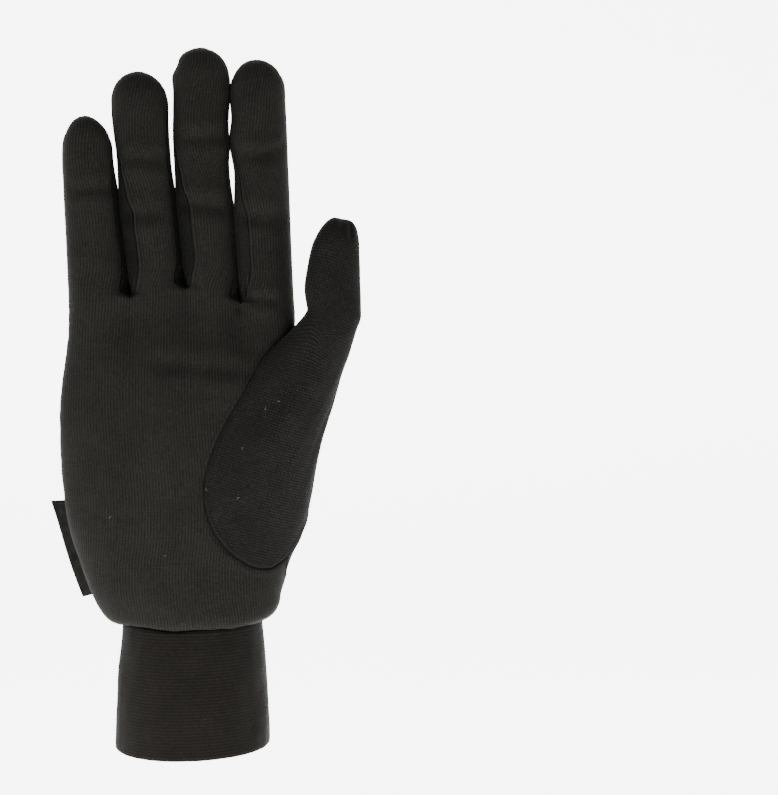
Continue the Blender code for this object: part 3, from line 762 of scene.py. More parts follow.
def finger_rows(skin, finger, base):
    """The rings of one finger above its ring of base points, up to the seam over its tip."""
    half = SIDE // 2

    def panel_of(k):
        if k < half or k >= SLOTS - half:
            if finger.left_web is not None:
                return LITTLE_RING + finger.left_web
            return PALM if k < half else BACK
        if k < half + ACROSS:
            return PALM
        if k < half + ACROSS + SIDE:
            if finger.right_web is not None:
                return LITTLE_RING + finger.right_web
            return PALM if k < half + ACROSS + half else BACK
        return BACK

    front_base = [skin.front_knit[vert][0] for vert in base]
    back_base = [skin.back_knit[vert][0] for vert in base]
    front_middle = half + ACROSS // 2
    back_middle = half + ACROSS + SIDE + ACROSS // 2
    previous = base
    for height in finger_heights(finger):
        merged = finger.length - height <= FOURCHETTE_END
        ring = []
        for slot in range(SLOTS):
            level = finger.number * ACROSS + min(max(slot_level(slot), 0.0), ACROSS)
            x, y = finger.point(slot, height)
            z = KNUCKLE_HEIGHT + height + lift(level) * (1.0 - ease(height / finger.length))
            ring.append(Vector((x, y, z)))
        lengths = lengths_round(ring)
        share = ease(height / KNIT_BLEND)
        front, back = [], []
        for slot in range(SLOTS):
            whole_turn = lengths[SLOTS] if slot >= SLOTS - half else 0.0
            own = lengths[slot] - whole_turn - lengths[front_middle] + front_base[front_middle]
            front.append((mix(front_base[slot], own, share), ring[slot].z / MM))
            own = lengths[slot or SLOTS] - lengths[back_middle] + back_base[back_middle]
            back.append((mix(back_base[slot], own, share), ring[slot].z / MM))
        made = skin.ring(ring, front, back)
        if merged:
            made = [made[0] if slot <= half or slot >= SLOTS - half
                    else made[half + ACROSS + half] if half + ACROSS <= slot <= half + ACROSS + SIDE
                    else made[slot] for slot in range(SLOTS)]
        skin.bridge(previous, made, panel_of)
        previous = made
    seam_over_tip(skin, finger, previous)


def seam_over_tip(skin, finger, ring):
    """The last faces of a finger, whose front and back meet in a seam line over the tip."""
    half = SIDE // 2
    front = ring[half:half + ACROSS + 1]
    back_start = half + ACROSS + SIDE
    back = [ring[(back_start + ACROSS - k) % len(ring)] for k in range(ACROSS + 1)]
    line = [front[0]]
    for k in range(1, ACROSS):
        place = (skin.points[front[k]] + skin.points[back[k]]) / 2
        place.z = KNUCKLE_HEIGHT + finger.length
        line += skin.ring([place], [skin.front_knit[front[k]]], [skin.back_knit[back[k]]])
    line.append(front[-1])
    for k in range(ACROSS):
        skin.face((front[k], front[k + 1], line[k + 1], line[k]), PALM)
        skin.face((back[k + 1], back[k], line[k], line[k + 1]), BACK)


def build_skin():
    skin = Skin()
    levels = hand_levels()
    rings = hand_rows(skin, levels)
    knuckles = rings[-1]
    half = SIDE // 2
    webs = []
    for web in range(len(FINGERS) - 1):
        points = []
        for step in range(1, SIDE):
            x, y = BASES[web].point(half + ACROSS + step, 0.0)
            points.append(Vector((x, y, KNUCKLE_HEIGHT + crotch_z(web))))
        near = skin.front_knit[knuckles[half + (web + 1) * ACROSS]]
        far = skin.back_knit[knuckles[AROUND - half - (web + 1) * ACROSS]]
        webs.append(skin.ring(points, [near] * len(points), [far] * len(points)))
    left_side = [knuckles[k] for k in range(half - 1, -half, -1)]
    right_side = [knuckles[half + FRONT + step] for step in range(1, SIDE)]
    for finger in BASES:
        number = finger.number
        first = half + number * ACROSS
        front = knuckles[first:first + ACROSS + 1]
        far = AROUND - half - number * ACROSS
        back = [knuckles[far - ACROSS + k] for k in range(ACROSS + 1)]
        left = webs[finger.left_web] if finger.left_web is not None else left_side
        right = webs[finger.right_web] if finger.right_web is not None else right_side
        base = left[:half][::-1] + front + right + back + left[half:][::-1]
        finger_rows(skin, finger, base)
    thumb_rows(skin, rings, levels)
    skin.bottom = rings[0]
    return skin


# Slack of the cloth: size of its waves and how far they stand out, both in millimetres
SLACK = [(19.0, 0.42), (8.0, 0.16), (3.2, 0.05)]
SLACK_SEED = (3.0, 7.0)

# Between the fingers it is less by this share, from this far below the knuckles in metres
SLACK_LOSS = 0.85
SLACK_BELOW = 0.004

# Seams: how deep and wide the groove is, and how high and far off the ridge beside it, in millimetres
GROOVE_DEPTH = 0.34
GROOVE_WIDTH = 0.55
RIDGE_HEIGHT = 0.28
RIDGE_PLACE = 0.85
RIDGE_WIDTH = 0.5

# The cloth puckers near a seam: height, size and reach in millimetres
PUCKER_HEIGHT = 0.32
PUCKER_SIZE = 3.4
PUCKER_REACH = 2.6
PUCKER_SEED = (31.0, 5.0, 2.0)

# Places looked at on each seam edge, the nearest that are tried, and how well one has to face the same way
SEAM_SAMPLES = 4
SEAM_CANDIDATES = 12
SAME_SIDE = 0.1

# The strips between the fingers sink in beside their seams: depth and edge in millimetres, and the height
# in metres where this ends and over which it fades, above and below
STRIP_DEPTH = 1.0
STRIP_EDGE = 1.0
STRIP_TOP = 0.225
STRIP_FADE = 0.030
STRIP_BOTTOM = 0.168
STRIP_RISE = 0.010
FAR_FROM_SEAM = 9.0

# Creases in millimetres and degrees: place, half length, slant, half height, depth, and -1 for the palm
# side or 1 for the back
CREASES = [
    # x, z, half length, slant, half height, depth, side
    (-36.4, 200.0, 10.0, 4.0, 2.2, 0.75, -1),
    (-17.1, 210.9, 9.5, -3.0, 2.4, 0.85, -1),
    (-17.6, 191.3, 9.5, 5.0, 2.6, 0.85, -1),
    (3.6, 219.6, 10.0, 4.0, 2.4, 0.85, -1),
    (3.8, 194.9, 10.5, -4.0, 2.8, 1.05, -1),
    (24.5, 213.8, 9.5, 3.0, 2.4, 0.85, -1),
    (29.5, 216.0, 5.0, 28.0, 1.4, 0.50, -1),
    (24.0, 191.3, 9.5, -3.0, 2.6, 0.85, -1),
    (25.0, 161.5, 7.0, -4.0, 2.0, 0.80, -1),
    (3.4, 137.0, 19.0, -4.0, 3.0, 0.80, -1),
    (17.5, 157.8, 3.0, -20.0, 1.5, 0.50, -1),
    (55.6, 185.0, 3.4, 88.0, 0.7, 0.45, -1),
]
# A crease fades over this share of its half length, and swells on both sides by this share of its depth
CREASE_FADE = 0.35
CREASE_SWELL = 0.35
CREASE_FACING = 1.4


def corner_table(faces):
    return np.array([face if len(face) == 4 else face + (face[2],) for face in faces])


def vertex_normals(points, corners):
    p = points[corners]
    face_normals = np.cross(p[:, 2] - p[:, 0], p[:, 3] - p[:, 1])
    normals = np.zeros_like(points)
    for k in range(4):
        np.add.at(normals, corners[:, k], face_normals)
    length = np.linalg.norm(normals, axis=1)
    return normals / np.maximum(length, 1e-12)[:, None]


def seam_edges(skin):
    """Edges whose two faces belong to different panels; build_glove adds the hand's edge at the cuff."""
    owners = {}
    for face, panel in zip(skin.faces, skin.panels):
        for a, b in zip(face, face[1:] + face[:1]):
            owners.setdefault((min(a, b), max(a, b)), set()).add(panel)
    return [edge for edge, panels in owners.items() if len(panels) > 1]


def seam_distances(points, normals, edges):
    """Distance from each point to the nearest seam on its own side of the cloth, in millimetres."""
    samples, facing = [], []
    for a, b in edges:
        for step in range(SEAM_SAMPLES):
            share = step / SEAM_SAMPLES
            samples.append(mix(points[a], points[b], share))
            facing.append(normals[a])
    tree = KDTree(len(samples))
    for index, place in enumerate(samples):
        tree.insert(place, index)
    tree.balance()
    result = np.full(len(points), FAR_FROM_SEAM)
    for k, place in enumerate(points):
        for _, index, distance in tree.find_n(place, SEAM_CANDIDATES):
            if normals[k] @ facing[index] > SAME_SIDE:
                result[k] = min(distance / MM, FAR_FROM_SEAM)
                break
    return result


def crease_depth(points, normals):
    """How deep the creases dent each point, in millimetres, with a soft swell on both sides of each."""
    x, z = points[:, 0] / MM, points[:, 2] / MM
    total = np.zeros(len(points))
    for crease_x, crease_z, half_length, degrees, half_height, depth, side in CREASES:
        slant = math.radians(degrees)
        dx, dz = x - crease_x, z - crease_z
        along = dx * math.cos(slant) + dz * math.sin(slant)
        across = (dz * math.cos(slant) - dx * math.sin(slant)) / half_height
        end = np.clip((half_length - np.abs(along)) / (CREASE_FADE * half_length), 0.0, 1.0)
        facing = np.clip(normals[:, 1] * side * CREASE_FACING, 0.0, 1.0)
        valley = np.exp(-across ** 2) - CREASE_SWELL * np.exp(-(np.abs(across) - 2.0) ** 2)
        total += depth * valley * end * facing
    return total


def relief(points, normals, seam, on_strip):
    """How far each point stands out of the plain form, in millimetres."""
    out = np.zeros(len(points))
    for k, place in enumerate(points):
        at = Vector(place) / MM
        for size, height in SLACK:
            out[k] += height * noise.noise(at / size + Vector((size, *SLACK_SEED)))
        pucker = noise.noise(at / PUCKER_SIZE + Vector(PUCKER_SEED))
        out[k] += PUCKER_HEIGHT * pucker * math.exp(-seam[k] / PUCKER_REACH)
    between = (points[:, 2] > KNUCKLE_HEIGHT - SLACK_BELOW) & (normals[:, 0] ** 2 > 0.05)
    out *= np.where(between, 1.0 - SLACK_LOSS * np.abs(normals[:, 0]), 1.0)
    out -= GROOVE_DEPTH * np.exp(-(seam / GROOVE_WIDTH) ** 2)
    out += RIDGE_HEIGHT * np.exp(-((seam - RIDGE_PLACE) / RIDGE_WIDTH) ** 2)
    out -= crease_depth(points, normals)
    low = np.clip((STRIP_TOP - points[:, 2]) / STRIP_FADE, 0.0, 1.0)
    low *= np.clip((points[:, 2] - STRIP_BOTTOM) / STRIP_RISE, 0.0, 1.0)
    sunk = (1.0 - np.exp(-(seam / STRIP_EDGE) ** 2)) * np.clip(np.abs(normals[:, 1]) * 1.5 - 0.2, 0.0, 1.0)
    out -= STRIP_DEPTH * on_strip * low * sunk
    return out


def add_object(name, data):
    thing = bpy.data.objects.new(name, data)
    bpy.context.scene.collection.objects.link(thing)
    return thing


def band(low, high, count):
    """Faces between two closed rings of points that start at two places in a list."""
    after = [(k + 1) % count for k in range(count)]
    return [(low + k, low + after[k], high + after[k], high + k) for k in range(count)]


def add_piece(node, points, faces, knit, material):
    name = node + "_knit"
    mesh = bpy.data.meshes.new(name)
    mesh.from_pydata([tuple(point) for point in points], [], faces)
    mesh.update()
    mesh.shade_smooth()
    places = mesh.attributes.new("knit", "FLOAT_VECTOR", "POINT")
    places.data.foreach_set("vector", np.asarray(knit, dtype=np.float32).ravel())
    mesh.materials.append(material)
    return add_object(name, mesh)


def panel_piece(skin, panel, node, points, normals, seam, material):
    """One panel of the skin with its outer face, inner face and cut edges."""
    faces = [face for face, owner in zip(skin.faces, skin.panels) if owner == panel]
    edges = {}
    for face in faces:
        for a, b in zip(face, face[1:] + face[:1]):
            edges[(a, b)] = True
    cut = [edge for edge in edges if (edge[1], edge[0]) not in edges]
    used = sorted({corner for face in faces for corner in face})
    place_of = {corner: k for k, corner in enumerate(used)}
    outer = points[used].copy()
    pull = np.zeros_like(outer)
    on_cut = {corner for edge in cut for corner in edge}
    for a, b in edges:
        if a in on_cut and b not in on_cut:
            pull[place_of[a]] += points[b] - points[a]
    length = np.linalg.norm(pull, axis=1)
    outer += pull / np.maximum(length, 1e-12)[:, None] * SEAM_SHOWN * (length > 0.0)[:, None]
    inner = points[used] - normals[used] * CLOTH
    count = len(used)
    solid = [tuple(place_of[corner] for corner in face) for face in faces]
    inside = [tuple(count + corner for corner in reversed(face)) for face in solid]
    rims = [(place_of[b], place_of[a], count + place_of[a], count + place_of[b]) for a, b in cut]
    source = skin.back_knit if panel == BACK else skin.front_knit
    knit = [(*source[corner], seam[corner]) for corner in used]
    return add_piece(node, np.vstack([outer, inner]), solid + inside + rims, knit + knit, material)


# Cuff profile: share of the height, and how far in from the outer face as a share of the wall
CUFF_ROWS = 40
CUFF_FOLD = [(0.014, 0.04), (0.004, 0.20), (0.0, 0.5), (0.004, 0.80), (0.014, 0.96)]
CUFF_COLUMNS = 200
CUFF_INNER_ROWS = 10

# Swells of the cuff's band in millimetres, and how much more its outer face bulges at half height
CUFF_SWELLS = [
    # out, size, stretch upwards, seed
    (0.45, 15.0, 1.0, (9.0, 1.0, 4.0)),
    (0.22, 4.5, 0.4, (2.0, 8.0, 1.0)),
]
CUFF_BULGE = 0.35

# The hem over the cuff rises towards the little-finger side, by HEM_RISE inside HEM_FROM and by
# HEM_SIDE_RISE more inside HEM_SIDE_FROM, in metres
HEM_RISE = 0.0010
HEM_FROM = 0.020
HEM_SIDE_RISE = 0.0022
HEM_SIDE_FROM = -0.004
HEM_SIDE_REACH = 0.018
HEM_REACH = 0.009


def hem_lift(x):
    """How far the hem is drawn up at a place across."""
    side_rise = HEM_SIDE_RISE * ease((HEM_SIDE_FROM - x) / HEM_SIDE_REACH)
    return HEM_RISE * ease((HEM_FROM - x) / HEM_FROM) + side_rise


def lift_hem(points):
    lifted = points.copy()
    for k, (x, y, z) in enumerate(points):
        near = (z - CUFF_HEIGHT) / HEM_REACH
        if near < 3.0:
            lifted[k, 2] += hem_lift(x) * math.exp(-near * near)
    return lifted


def cuff_piece(material):
    profile = [(1.0 - (1.0 - CUFF_FOLD[0][0]) * step / CUFF_ROWS, 0.0) for step in range(CUFF_ROWS)]
    profile += CUFF_FOLD
    profile += [(mix(CUFF_FOLD[-1][0], 1.0, step / CUFF_INNER_ROWS), 1.0)
                for step in range(1, CUFF_INNER_ROWS + 1)]
    points, knit = [], []
    for up, inset in profile:
        width = mix(CUFF_MOUTH_WIDTH, CUFF_TOP_WIDTH, up) / 2
        depth = mix(CUFF_MOUTH_DEPTH, CUFF_TOP_DEPTH, up) / 2
        ring = []
        for k in range(CUFF_COLUMNS):
            angle = -2.0 * math.pi * k / CUFF_COLUMNS
            x, y = on_superellipse(angle, width, depth, depth, CUFF_POWER)
            radial = Vector((x / width, y / depth, 0.0)).normalized()
            z = up * (CUFF_HEIGHT + CUFF_SLOPE * x + hem_lift(x))
            swell = CUFF_BULGE * math.sin(math.pi * up) if inset < 0.5 else 0.0
            for out, size, stretch, seed in CUFF_SWELLS:
                swell += out * noise.noise(Vector((x, y, z * stretch)) / (size * MM) + Vector(seed))
            ring.append(Vector((x, y, z)) + radial * (swell * MM - inset * CUFF_WALL))
        lengths = lengths_round(ring)
        points += ring
        knit += [(lengths[k] - lengths[CUFF_COLUMNS // 4], ring[k].z / MM, FAR_FROM_SEAM)
                 for k in range(CUFF_COLUMNS)]
    faces = []
    rows = len(profile)
    for r in range(rows):
        faces += band(r * CUFF_COLUMNS, (r + 1) % rows * CUFF_COLUMNS, CUFF_COLUMNS)
    return add_piece("cuff", points, faces, knit, material)


# The label starts a little inside the seam and is narrower at its lower end
LABEL_ROOT = 0.0002
LABEL_LOW_WIDTH = 0.0058
LABEL_ROWS = 34
LABEL_COLUMNS = 8

# Its curl across and its wave along in millimetres, and half its thickness as shares at root and free edge
LABEL_CURL = 0.5
LABEL_WAVE = 0.4
LABEL_WAVE_TURN = 5.0
LABEL_HALVES = (0.42, 0.30)


def side_seam(z):
    """The place of the little-finger side seam at a height, on the outer face of the cloth."""
    return hand_point(0, (z - CUFF_HEIGHT) / PALM_LENGTH)


def seam_way(z):
    """The way that the side seam runs at a height."""
    return (side_seam(z + CLOTH) - side_seam(z - CLOTH)).normalized()


def label_outer(z, width):
    """A place on the label's free edge."""
    along = seam_way(z)
    out = Vector((-math.cos(LABEL_SWEEP), math.sin(LABEL_SWEEP), 0.0))
    out = (out - along * out.dot(along)).normalized()
    return side_seam(z) + out * width


def label_piece(material):
    """A straight strip that stands out of the side seam, swept towards the back of the hand."""
    front, back, knit = [], [], []
    low = label_outer(LABEL_BOTTOM, LABEL_LOW_WIDTH)
    high = label_outer(LABEL_BOTTOM + LABEL_LENGTH, LABEL_WIDTH)
    for k in range(LABEL_ROWS + 1):
        z = LABEL_BOTTOM + LABEL_LENGTH * k / LABEL_ROWS
        along = seam_way(z)
        away = Vector((-along.z, 0.0, along.x)).normalized()
        start = side_seam(z) - away * LABEL_ROOT
        end = low.lerp(high, k / LABEL_ROWS)
        normal = along.cross(end - start).normalized()
        for step in range(LABEL_COLUMNS + 1):
            share = step / LABEL_COLUMNS
            curl = LABEL_CURL * math.sin(math.pi * share)
            curl += LABEL_WAVE * share * math.sin(LABEL_WAVE_TURN * k / LABEL_ROWS)
            place = start.lerp(end, share) + normal * curl * MM
            half = normal * LABEL_THICKNESS * mix(*LABEL_HALVES, share)
            front.append(place + half)
            back.append(place - half)
            knit.append((LABEL_WIDTH * share / MM, z / MM, FAR_FROM_SEAM))
    across = LABEL_COLUMNS + 1
    count = len(front)
    faces = []
    for k in range(LABEL_ROWS):
        for step in range(LABEL_COLUMNS):
            a = k * across + step
            faces.append((a, a + 1, a + 1 + across, a + across))
            faces.append((count + a + across, count + a + 1 + across, count + a + 1, count + a))
    edge = list(range(across))
    edge += [k * across + LABEL_COLUMNS for k in range(1, LABEL_ROWS)]
    edge += list(range(count - 1, count - 1 - across, -1))
    edge += [k * across for k in range(LABEL_ROWS - 1, 0, -1)]
    for a, b in zip(edge, edge[1:] + edge[:1]):
        faces.append((b, a, count + a, count + b))
    return add_piece("label", front + back, faces, knit + knit, material)


# Knits: darkest and lightest colour, distance between wales and between courses in millimetres, how much
# the courses show, the sheen, and the share of brightness that painted shade leaves on the palm side. The
# strips' knits are painted shade: a darker darkest colour and a darker palm side stand for the shade
# that falls between the fingers
KNITS = {
    # name: dark, light, wale, course, banding, sheen, palm painted shade share
    "jersey knit": ((0.0005, 0.0005, 0.0004), (0.0066, 0.0062, 0.0051), 1.07, 0.80, 0.20, 0.006, 1.0),
    "painted shade strip knit": ((0.0003, 0.0003, 0.0002), (0.0066, 0.0062, 0.0051), 1.07, 0.80, 0.20, 0.004, 0.36),
    "index painted shade strip knit": ((0.0005, 0.0005, 0.0004), (0.0066, 0.0062, 0.0051), 1.07, 0.80, 0.20, 0.006, 0.75),
    "thumb knit": ((0.0005, 0.0005, 0.0004), (0.0076, 0.0071, 0.0058), 1.07, 0.96, 0.65, 0.007, 1.0),
    "cuff knit": ((0.0006, 0.0005, 0.0003), (0.0055, 0.0042, 0.0030), 0.70, 1.11, 0.75, 0.006, 1.0),
}

# Noises in the knit: scale for each metre and detail
WANDER = (160.0, 2.0)
LOOSE_FIBRES = (1500.0, 4.0)
BLOTCHES = (95.0, 4.0)
TAPE_GRAIN = (400.0, 3.0)

# How far wales wander and stitches slant, as shares of their spacing
WANDER_SHARE = 0.5
STITCH_SLANT = 0.9

# The courses' strength at no banding, and what full banding adds
COURSE_SHOWN = 0.16
COURSE_BANDING = 0.35

# Bumps: depth in metres and strength, for the groove at a seam, the knit and the tape
GROOVE_BUMP = (0.0004, 0.8)
KNIT_BUMP = (0.00016, 0.75)
TAPE_BUMP = (0.00008, 0.6)
FIBRE_BUMP = 0.9

# Parts of the shade, and what of their sum counts as darkest and as lightest
BLOTCH_SHADE = 0.30
WEAVE_SHADE = 0.75
FIBRE_SHADE = 1.2
SHADE_SPAN = (0.65, 1.80)

# The edge of the seam allowance shows as a faint second line this far from a seam, in millimetres
EDGE_LINE = 1.5

# Changes of shape or shade over a distance: from, to, value before and value after
GROOVE_SPAN = (0.0, 0.75, 0.0, 1.0)
SEAM_SPAN = (0.0, 0.5, 0.5, 1.0)
LINE_SPAN = (0.10, 0.45, 0.62, 1.0)
# Painted shade on the palm side of the strips fades in over this depth, in metres
PALM_PAINTED_SHADE_SPAN = (-0.003, 0.003)

# The label's threads in millimetres, and its shades
WARP = 0.42
WEFT = 0.36
TAPE_WEAVE = 0.15
TAPE_SPAN = (0.2, 0.8, 0.0, 1.0)
TAPE_DARK = (0.0022, 0.0022, 0.0020)
TAPE_LIGHT = (0.0056, 0.0054, 0.0050)


class Nodes:
    """Short calls for wiring a material's nodes."""

    def __init__(self, name):
        self.material = bpy.data.materials.new(name)
        self.material.use_nodes = True
        self.tree = self.material.node_tree
        self.shader = self.tree.nodes["Principled BSDF"]

    def put(self, node, values):
        """Link or set a node's inputs, which are given by name or number."""
        for key, value in values.items():
            if isinstance(value, bpy.types.NodeSocket):
                self.tree.links.new(value, node.inputs[key])
            else:
                node.inputs[key].default_value = value

    def make(self, kind, values, output=0, **settings):
        """A new node with its inputs and settings, as one of its outputs."""
        node = self.tree.nodes.new(kind)
        for setting, value in settings.items():
            setattr(node, setting, value)
        self.put(node, values)
        return node.outputs[output]

    def math(self, operation, *values):
        return self.make("ShaderNodeMath", dict(enumerate(values)), operation=operation)

    def times(self, one, other):
        return self.math("MULTIPLY", one, other)

    def plus(self, one, other):
        return self.math("ADD", one, other)

    def part(self, vector, number):
        """The x, y or z of a vector, by its number."""
        return self.make("ShaderNodeSeparateXYZ", {0: vector}, number)

    def knit_places(self):
        """Places across and along the knit and the distance from a seam, in millimetres."""
        place = self.make("ShaderNodeAttribute", {}, "Vector", attribute_name="knit")
        return [self.part(place, number) for number in range(3)]

    def where(self):
        """The place on the object, in metres."""
        return self.make("ShaderNodeTexCoord", {}, "Object")

    def noise(self, scale, detail):
        """Noise as a number that stays near one half."""
        return self.make("ShaderNodeTexNoise", {"Vector": self.where(), "Scale": scale, "Detail": detail})

    def span(self, value, low, high, before=0.0, after=1.0):
        values = {"Value": value, "From Min": low, "From Max": high, "To Min": before, "To Max": after}
        return self.make("ShaderNodeMapRange", values, interpolation_type="SMOOTHSTEP")

    def tint(self, factor, dark, light):
        return self.make("ShaderNodeMix", {0: factor, 6: (*dark, 1.0), 7: (*light, 1.0)}, 2, data_type="RGBA")

    def bump(self, height, distance, strength, under=None):
        values = {"Height": height, "Distance": distance, "Strength": strength}
        if under is not None:
            values["Normal"] = under
        return self.make("ShaderNodeBump", values)


def knit_material(name):
    """Fine knit: rounded wales of slanting stitches, loose fibres, a line along each seam, and on the strips
    painted shade on the palm side.
    """
    dark, light, wale, course, banding, sheen, palm_painted_shade_share = KNITS[name]
    nodes = Nodes(name)
    across, along, seam = nodes.knit_places()
    wander = nodes.times(nodes.noise(*WANDER), WANDER_SHARE * wale)
    column = nodes.math("DIVIDE", nodes.plus(across, wander), wale)
    inside = nodes.math("PINGPONG", column, 0.5)
    rib = nodes.math("SINE", nodes.times(inside, math.pi))
    row = nodes.plus(nodes.math("DIVIDE", along, course), nodes.times(inside, STITCH_SLANT))
    stitch = nodes.math("SINE", nodes.times(row, 2.0 * math.pi))
    weave = nodes.plus(nodes.times(rib, 1.0 - banding),
                       nodes.times(stitch, COURSE_BANDING * banding + COURSE_SHOWN))
    fibres = nodes.noise(*LOOSE_FIBRES)
    height = nodes.plus(weave, nodes.times(fibres, FIBRE_BUMP))
    near = nodes.bump(nodes.span(seam, *GROOVE_SPAN), *GROOVE_BUMP)
    shade = nodes.plus(nodes.times(nodes.noise(*BLOTCHES), BLOTCH_SHADE), nodes.times(weave, WEAVE_SHADE))
    shade = nodes.plus(shade, nodes.times(fibres, FIBRE_SHADE))
    shade = nodes.times(nodes.span(shade, *SHADE_SPAN), nodes.span(seam, *SEAM_SPAN))
    from_line = nodes.math("ABSOLUTE", nodes.math("SUBTRACT", seam, EDGE_LINE))
    shade = nodes.times(shade, nodes.span(from_line, *LINE_SPAN))
    # Painted shade: the palm side of a strip is darkened for the shade that falls between the fingers
    if palm_painted_shade_share < 1.0:
        backward = nodes.part(nodes.where(), 1)
        shade = nodes.times(shade, nodes.span(backward, *PALM_PAINTED_SHADE_SPAN, palm_painted_shade_share))
    nodes.put(nodes.shader, {
        "Base Color": nodes.tint(shade, dark, light),
        "Normal": nodes.bump(height, *KNIT_BUMP, near),
        "Roughness": 0.88,
        "Specular IOR Level": 0.04,
        "Sheen Weight": sheen,
        "Sheen Roughness": 0.45,
        "Sheen Tint": (0.95, 0.93, 0.86, 1.0),
    })
    return nodes.material


def label_material():
    """Plain woven tape with fine threads both ways."""
    nodes = Nodes("label tape")
    across, along, _ = nodes.knit_places()
    warp = nodes.math("SINE", nodes.times(across, 2.0 * math.pi / WARP))
    weft = nodes.math("SINE", nodes.times(along, 2.0 * math.pi / WEFT))
    weave = nodes.times(warp, weft)
    shade = nodes.plus(nodes.noise(*TAPE_GRAIN), nodes.times(weave, TAPE_WEAVE))
    nodes.put(nodes.shader, {
        "Base Color": nodes.tint(nodes.span(shade, *TAPE_SPAN), TAPE_DARK, TAPE_LIGHT),
        "Normal": nodes.bump(weave, *TAPE_BUMP),
        "Roughness": 0.85,
        "Specular IOR Level": 0.0,
    })
    return nodes.material


def plain_material(name, colour, roughness, glow):
    nodes = Nodes(name)
    nodes.put(nodes.shader, {
        "Base Color": (*colour, 1.0),
        "Roughness": roughness,
        "Emission Color": (1.0, 1.0, 1.0, 1.0),
        "Emission Strength": glow,
    })
    return nodes.material


# Loose fibres caught on the knit, in millimetres and degrees: place, length, slant, bend, and the side
FIBRES = [
    # x, z, length, slant, bend, side
    (30.5, 124.4, 1.4, 20.0, 0.5, -1),
    (17.8, 108.0, 1.1, 75.0, 0.4, -1),
    (4.7, 94.2, 1.3, 140.0, 0.5, -1),
    (16.0, 90.5, 1.2, 35.0, 0.3, -1),
    (25.8, 121.8, 1.0, 100.0, 0.4, -1),
    (-28.0, 84.0, 1.2, 60.0, 0.4, -1),
    (-9.0, 70.5, 0.9, 10.0, 0.3, -1),
    (-3.6, 54.9, 2.6, 70.0, 1.3, 1),
    (8.5, 96.0, 1.3, 25.0, 0.4, 1),
    (-20.0, 118.0, 1.1, 130.0, 0.4, 1),
]
LINT_COLOUR = (0.060, 0.057, 0.050)
PLAIN_ROUGHNESS = 0.9
FIBRE_RADIUS = 0.06
FIBRE_LIFT = 0.10
FIBRE_STEPS = 9
FIBRE_SIDES = 5
FIBRE_WAVE = 0.25

# The share of a fibre's radius at its ends, and how far along a sine's hump its ends lie
FIBRE_END_RADIUS = 0.4
FIBRE_END_PLACE = 0.1

# A skin point belongs to a side if it faces that way by this much, and then comes before all others
FACING = 0.2
OWN_SIDE_FIRST = 1000.0


def surface_at(points, normals, x, z, side):
    """The skin point nearest to a place seen from the palm side (-1) or from the back (1)."""
    away = (points[:, 0] / MM - x) ** 2 + (points[:, 2] / MM - z) ** 2
    index = int(np.argmin(away - OWN_SIDE_FIRST * (normals[:, 1] * side > FACING)))
    return Vector(points[index]), Vector(normals[index])


def fibre_tubes(points, normals, side):
    """Points and faces of the fibres on one side, each a thin bent tube on the skin."""
    verts, faces = [], []
    for x, z, length, slant, bend, fibre_side in FIBRES:
        if fibre_side != side:
            continue
        place, normal = surface_at(points, normals, x, z, side)
        turn = math.radians(slant)
        along = Vector((math.cos(turn), 0.0, math.sin(turn)))
        along = (along - normal * along.dot(normal)).normalized()
        across = normal.cross(along)
        first = len(verts)
        for step in range(FIBRE_STEPS + 1):
            share = step / FIBRE_STEPS
            middle = place + normal * FIBRE_LIFT * MM + along * (length * (share - 0.5) * MM)
            middle += across * (bend * math.sin(math.pi * share) * MM)
            middle += normal * (FIBRE_WAVE * math.sin(2.0 * math.pi * share) * bend * MM)
            hump = math.sin(math.pi * mix(FIBRE_END_PLACE, 1.0 - FIBRE_END_PLACE, share))
            radius = FIBRE_RADIUS * MM * mix(FIBRE_END_RADIUS, 1.0, hump)
            for k in range(FIBRE_SIDES):
                angle = 2.0 * math.pi * k / FIBRE_SIDES
                verts.append(middle + (across * math.cos(angle) + normal * math.sin(angle)) * radius)
        last = first + FIBRE_STEPS * FIBRE_SIDES
        for low in range(first, last, FIBRE_SIDES):
            faces += band(low, low + FIBRE_SIDES, FIBRE_SIDES)
        faces.append(tuple(first + k for k in reversed(range(FIBRE_SIDES))))
        faces.append(tuple(last + k for k in range(FIBRE_SIDES)))
    return verts, faces


# The web beside the thumb is drawn up, in millimetres: its middle, reach across and up, and how far
WEB_PLACE = (42.0, 150.5)
WEB_REACH = (6.0, 8.5)
WEB_LIFT = 6.0
WEB_OUT = 1.0

# The thumb's outer and inner sides move towards +X by these lengths, in millimetres: height and how far
THUMB_OUTER = [(122.0, 0.0), (135.0, -1.3), (145.0, -2.0), (150.0, -0.7), (154.5, 1.0), (163.0, 0.7),
               (172.0, 0.0), (179.0, -0.9), (183.0, -1.0), (187.0, -0.5), (190.0, 0.0)]
THUMB_INNER = [(153.0, 0.0), (159.0, -0.2), (164.0, -1.0), (167.0, -1.1), (171.0, -0.9), (176.0, -0.8),
               (180.5, -0.6), (191.0, -0.7)]

# The thumb's end is higher by these lengths, in millimetres: place across and how far
THUMB_TOP = [(44.0, 0.0), (46.3, 0.8), (49.0, 1.6), (50.5, 1.5), (51.6, 1.2), (53.0, 0.6), (55.0, 0.6),
             (57.0, 1.1), (58.5, 1.1), (61.0, 0.4)]

# Places across and up, in millimetres, where the thumb and its moves start, and over what length
THUMB_FROM = 38.0
THUMB_FROM_REACH = 3.0
THUMB_SIDE_FROM = 42.0
THUMB_SIDE_REACH = 10.0
THUMB_TIP_FROM = 46.0
THUMB_TIP_REACH = 14.0
THUMB_TIP_HEIGHT = 156.0
THUMB_TIP_BLEND = 14.0
THUMB_TOP_FROM = 172.0
THUMB_TOP_REACH = 12.0


def rise_from(value, start, reach):
    """A value's share of the way from a start over a reach, kept within 0 and 1."""
    return np.clip((value - start) / reach, 0.0, 1.0)


